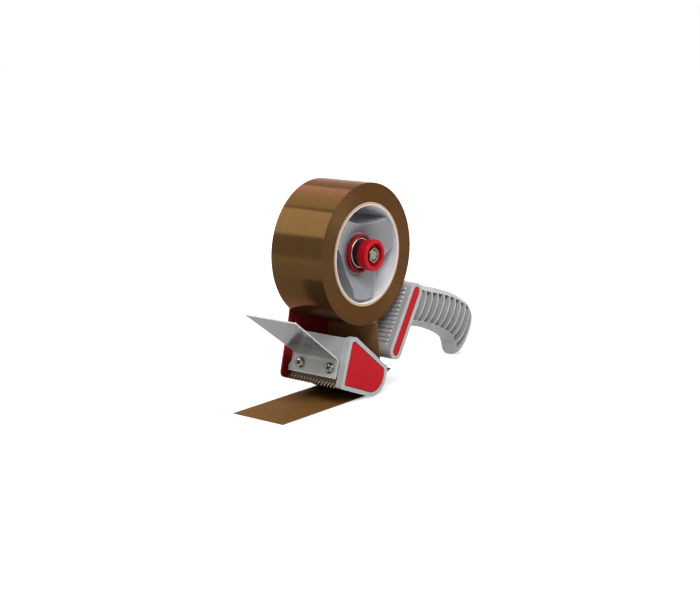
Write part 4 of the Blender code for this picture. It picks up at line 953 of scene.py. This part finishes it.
def makeAxleClip(look):
    low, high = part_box("axle_clip")
    outside, inside = [], []
    for k in range(look["steps"] + 1):
        angle = -90.0 + look["mouth"] + (360.0 - 2 * look["mouth"]) * k / look["steps"]
        turn = math.radians(angle)
        atLug = min(abs(angle - lug) for lug in look["lugs"]) < look["lugHalf"]
        for side, reach in ((outside, look["outer"]), (inside, look["lug"] if atLug else look["inner"])):
            side.append((reach * math.cos(turn), reach * math.sin(turn)))
    mesh = slabMesh(outside + inside[::-1], 0.0, high[1] - low[1])
    place = Matrix.Translation((rollerAxis.x, low[1], rollerAxis.z)) @ Matrix.Rotation(-math.pi / 2, 4, "X")
    addPiece("axleClip", mesh, "springSteel", "frame", ["axle_clip"], look["edge"],
             place @ Matrix.Rotation(math.pi, 4, "Z"))


makeAxleClip(axleClip)

# Serrated blade: the ground facets of the teeth slope back from the front face
blade = {"half": 0.0241, "top": 0.019, "teeth": 15, "tooth": 0.0031, "grind": 0.0011, "front": -0.0013, "back": -0.0019,
         "holeRadius": 0.0018, "holeHalf": 0.002, "holeSides": 24, "cutSpare": 0.001, "steps": 6, "drop": 0.0009,
         "farCorner": ((0.025, 0.0095), (0.0186, 0.02), (0.025, 0.02)),
         "nearCorner": ((-0.025, 0.0068), (-0.0222, 0.0088), (-0.0222, 0.02), (-0.025, 0.02))}


def makeBlade(look):
    pitch = 2 * look["half"] / look["teeth"]
    low = []
    for i in range(look["teeth"]):
        for k in range(look["steps"]):
            share = k / look["steps"]
            low.append((pitch * (i + share) - look["half"], look["tooth"] * abs(1 - 2 * share) - look["drop"]))
    low.append((look["half"], look["tooth"] - look["drop"]))
    count = len(low)
    points = [facePoint(y, up + look["grind"], look["front"]) for y, up in low]
    points += [facePoint(y, up, look["back"]) for y, up in low]
    points += [facePoint(y, look["top"], look[side]) for side in ("front", "back") for y, up in low]
    faces = []
    for i in range(count - 1):
        a, b, c, d = i, count + i, 2 * count + i, 3 * count + i
        faces += [(a, a + 1, b + 1, b), (c, c + 1, a + 1, a), (b, b + 1, d + 1, d), (d, d + 1, c + 1, c)]
    last = count - 1
    faces += [(0, count, 3 * count, 2 * count), (last, 2 * count + last, 3 * count + last, count + last)]
    holes = []
    half, spare = look["holeHalf"], look["cutSpare"]
    holeProfile = [(0.0, -half), (look["holeRadius"], -half), (look["holeRadius"], half), (0.0, half)]
    for y in (flapScrews["near"], flapScrews["far"]):
        hole = turnedMesh(holeProfile, look["holeSides"])
        hole.transform(uprightTo(faceOut, facePoint(y, flapScrews["up"], look["front"])))
        holes.append(hole)
    for corner in ("farCorner", "nearCorner"):
        holes.append(faceCutter(look[corner], look["back"] - spare, look["front"] + spare))
    mesh = cutAway(meshFrom(points, faces), holes)
    addPiece("serratedBlade", mesh, "bladeSteel", "frame", ["cutting_blade"])


makeBlade(blade)

# Rounded ends of the ribs on the beam, and a small pip on the head's front panel, both in a pale finish that is a
# painted highlight
beamLean = math.radians(58.0)
beamMiddle = Vector((0.0085, 0.0007, 0.053))
ribEnds = {"count": 14, "pitch": 0.0037, "y": -0.025, "across": -0.00775, "size": (0.0009, 0.0013, 0.0005)}


# A dome of unit radius on a short foot, then scaled
def domeMesh(size, sides=20, rings=6):
    mesh = turnedMesh([(0.0, -0.5), (1.0, -0.5), *quarterTurn(rings)], sides)
    mesh.transform(Matrix.Diagonal((*size, 1.0)))
    return mesh


def makeRibEnds(look):
    along = Vector((math.cos(beamLean), 0.0, math.sin(beamLean)))
    across = Vector((math.sin(beamLean), 0.0, -math.cos(beamLean)))
    made = bmesh.new()
    for i in range(look["count"]):
        place = beamMiddle + along * (look["pitch"] * (i - (look["count"] - 1) / 2)) + across * look["across"]
        place.y += look["y"]
        mesh = domeMesh(look["size"])
        mesh.transform(Matrix.Translation(place) @ axesMatrix(along, Vector((0, 1, 0)), -across))
        made.from_mesh(mesh)
    addPiece("ribEnds", takeMesh(made, bpy.data.meshes.new("made")), "paleHighlight", "frame")


makeRibEnds(ribEnds)

panelPip = {"y": 0.0093, "up": 0.0261, "out": -0.0022, "size": (0.0012, 0.0012, 0.0007)}
addPiece("panelPip", domeMesh(panelPip["size"]), "paleHighlight", "frame",
         matrix=uprightTo(faceOut, facePoint(panelPip["y"], panelPip["up"], panelPip["out"])))
print("detail pieces made")


# Floor, light and camera

# 1 where a ray comes from the camera, or from a shiny or clear surface
def seenPlainly(tree):
    path = addNode(tree, "ShaderNodeLightPath")
    shiny = addMath(tree, "MAXIMUM", path.outputs["Is Glossy Ray"], path.outputs["Is Transmission Ray"])
    return addMath(tree, "MAXIMUM", path.outputs["Is Camera Ray"], shiny)


def mixShaders(tree, low, high, put):
    mixed = addNode(tree, "ShaderNodeMixShader", i0=seenPlainly(tree), i1=low, i2=high)
    tree.links.new(mixed.outputs[0], put)


floorLook = {"size": 8.0, "down": 0.0003, "colour": (0.62, 0.62, 0.62), "lift": (0.45, 1.0), "liftSpan": (0.22, 0.75)}


def makeFloor(look):
    mesh = bpy.data.meshes.new("floor")
    half = look["size"] / 2
    mesh.from_pydata([(-half, -half, 0), (half, -half, 0), (half, half, 0), (-half, half, 0)], [], [(0, 1, 2, 3)])
    floor = putObject("floor", mesh)
    floor.location.z = -look["down"]
    made = bpy.data.materials.new("paleFloor")
    made.use_nodes = True
    tree = made.node_tree
    tree.nodes.remove(tree.nodes["Principled BSDF"])
    plain = addNode(tree, "ShaderNodeBsdfDiffuse", Color=look["colour"]).outputs[0]
    away = vectorMath(tree, "LENGTH", "Value", i0=objectPlace(tree))
    glow = addNode(tree, "ShaderNodeEmission", Strength=spread(tree, away, *look["liftSpan"], *look["lift"])).outputs[0]
    both = addNode(tree, "ShaderNodeAddShader", i0=plain, i1=glow).outputs[0]
    mixShaders(tree, plain, both, tree.nodes["Material Output"].inputs[0])
    mesh.materials.append(made)


makeFloor(floorLook)

worldLook = {"ambient": (0.97, 0.98, 1.0), "strength": 0.3, "seen": (1, 1, 1), "seenStrength": 1.0}


def makeWorld(look):
    world = bpy.data.worlds.new("studio")
    world.use_nodes = True
    scene.world = world
    tree = world.node_tree
    ambient = feed(tree, tree.nodes["Background"], Color=look["ambient"], Strength=look["strength"])
    white = addNode(tree, "ShaderNodeBackground", Color=look["seen"], Strength=look["seenStrength"])
    mixShaders(tree, ambient.outputs[0], white.outputs[0], tree.nodes["World Output"].inputs[0])


makeWorld(worldLook)

# softbox: where it hangs, what it points at, its size in metres, its power in watts and the way its width runs
softboxes = {
    "keyBox": {"at": (-0.65, -0.75, 1.3), "towards": (-0.02, 0.0, 0.08), "size": (0.7, 0.6), "power": 15.0},
    "fillBox": {"at": (0.38, -1.2, 0.7), "towards": (0.0, 0.0, 0.09), "size": (0.7, 0.6), "power": 9.0},
    "rearBox": {"at": (0.141, 0.7, 0.9455), "towards": (-0.034, 0.0007, 0.1125), "size": (0.78, 0.6), "power": 3.45,
                "along": (1.0, 0.0, -0.09)},
    "stripBox": {"at": (-0.574, 0.707, 0.76), "towards": (-0.034, 0.0007, 0.1125), "size": (0.67, 0.6), "power": 6.0,
                 "along": (0.76, 0.0, 0.65)},
    "topBox": {"at": (0.25, 0.15, 1.4), "towards": (0.0, 0.0, 0.05), "size": (0.9, 0.8), "power": 8.0},
}
for name, box in softboxes.items():
    lamp = bpy.data.lights.new(name, "AREA")
    lamp.shape = "RECTANGLE"
    lamp.size, lamp.size_y = box["size"]
    lamp.energy = box["power"]
    holder = putObject(name, lamp)
    holder.location = box["at"]
    back = (Vector(box["at"]) - Vector(box["towards"])).normalized()
    side = back.cross(Vector(box["along"]) if "along" in box else Vector((0, 0, 1)).cross(back)).normalized()
    holder.rotation_euler = axesMatrix(side.cross(back), side, back).to_euler()

photoView = {"azimuth": -51.33, "elevation": 12.03, "roll": -0.44, "distance": 1.16994,
             "target": (-0.0251, 0.0007, 0.07174), "lens": 75.892, "sensor": 36.0}


def makeCamera(view):
    azimuth, elevation, roll = (math.radians(view[key]) for key in ("azimuth", "elevation", "roll"))
    back = Vector((math.sin(azimuth) * math.cos(elevation), -math.cos(azimuth) * math.cos(elevation),
                   math.sin(elevation)))
    right = Vector((math.cos(azimuth), math.sin(azimuth), 0.0))
    up = back.cross(right)
    right = right * math.cos(roll) + up * math.sin(roll)
    up = back.cross(right)
    lens = bpy.data.cameras.new("photoCamera")
    lens.lens = view["lens"]
    lens.sensor_width = view["sensor"]
    holder = putObject("photoCamera", lens)
    place = Vector(view["target"]) + back * view["distance"]
    holder.matrix_world = Matrix.Translation(place) @ axesMatrix(right, up, back)
    scene.camera = holder


makeCamera(photoView)
scene.view_settings.view_transform = "Standard"
print("floor, light and camera set")
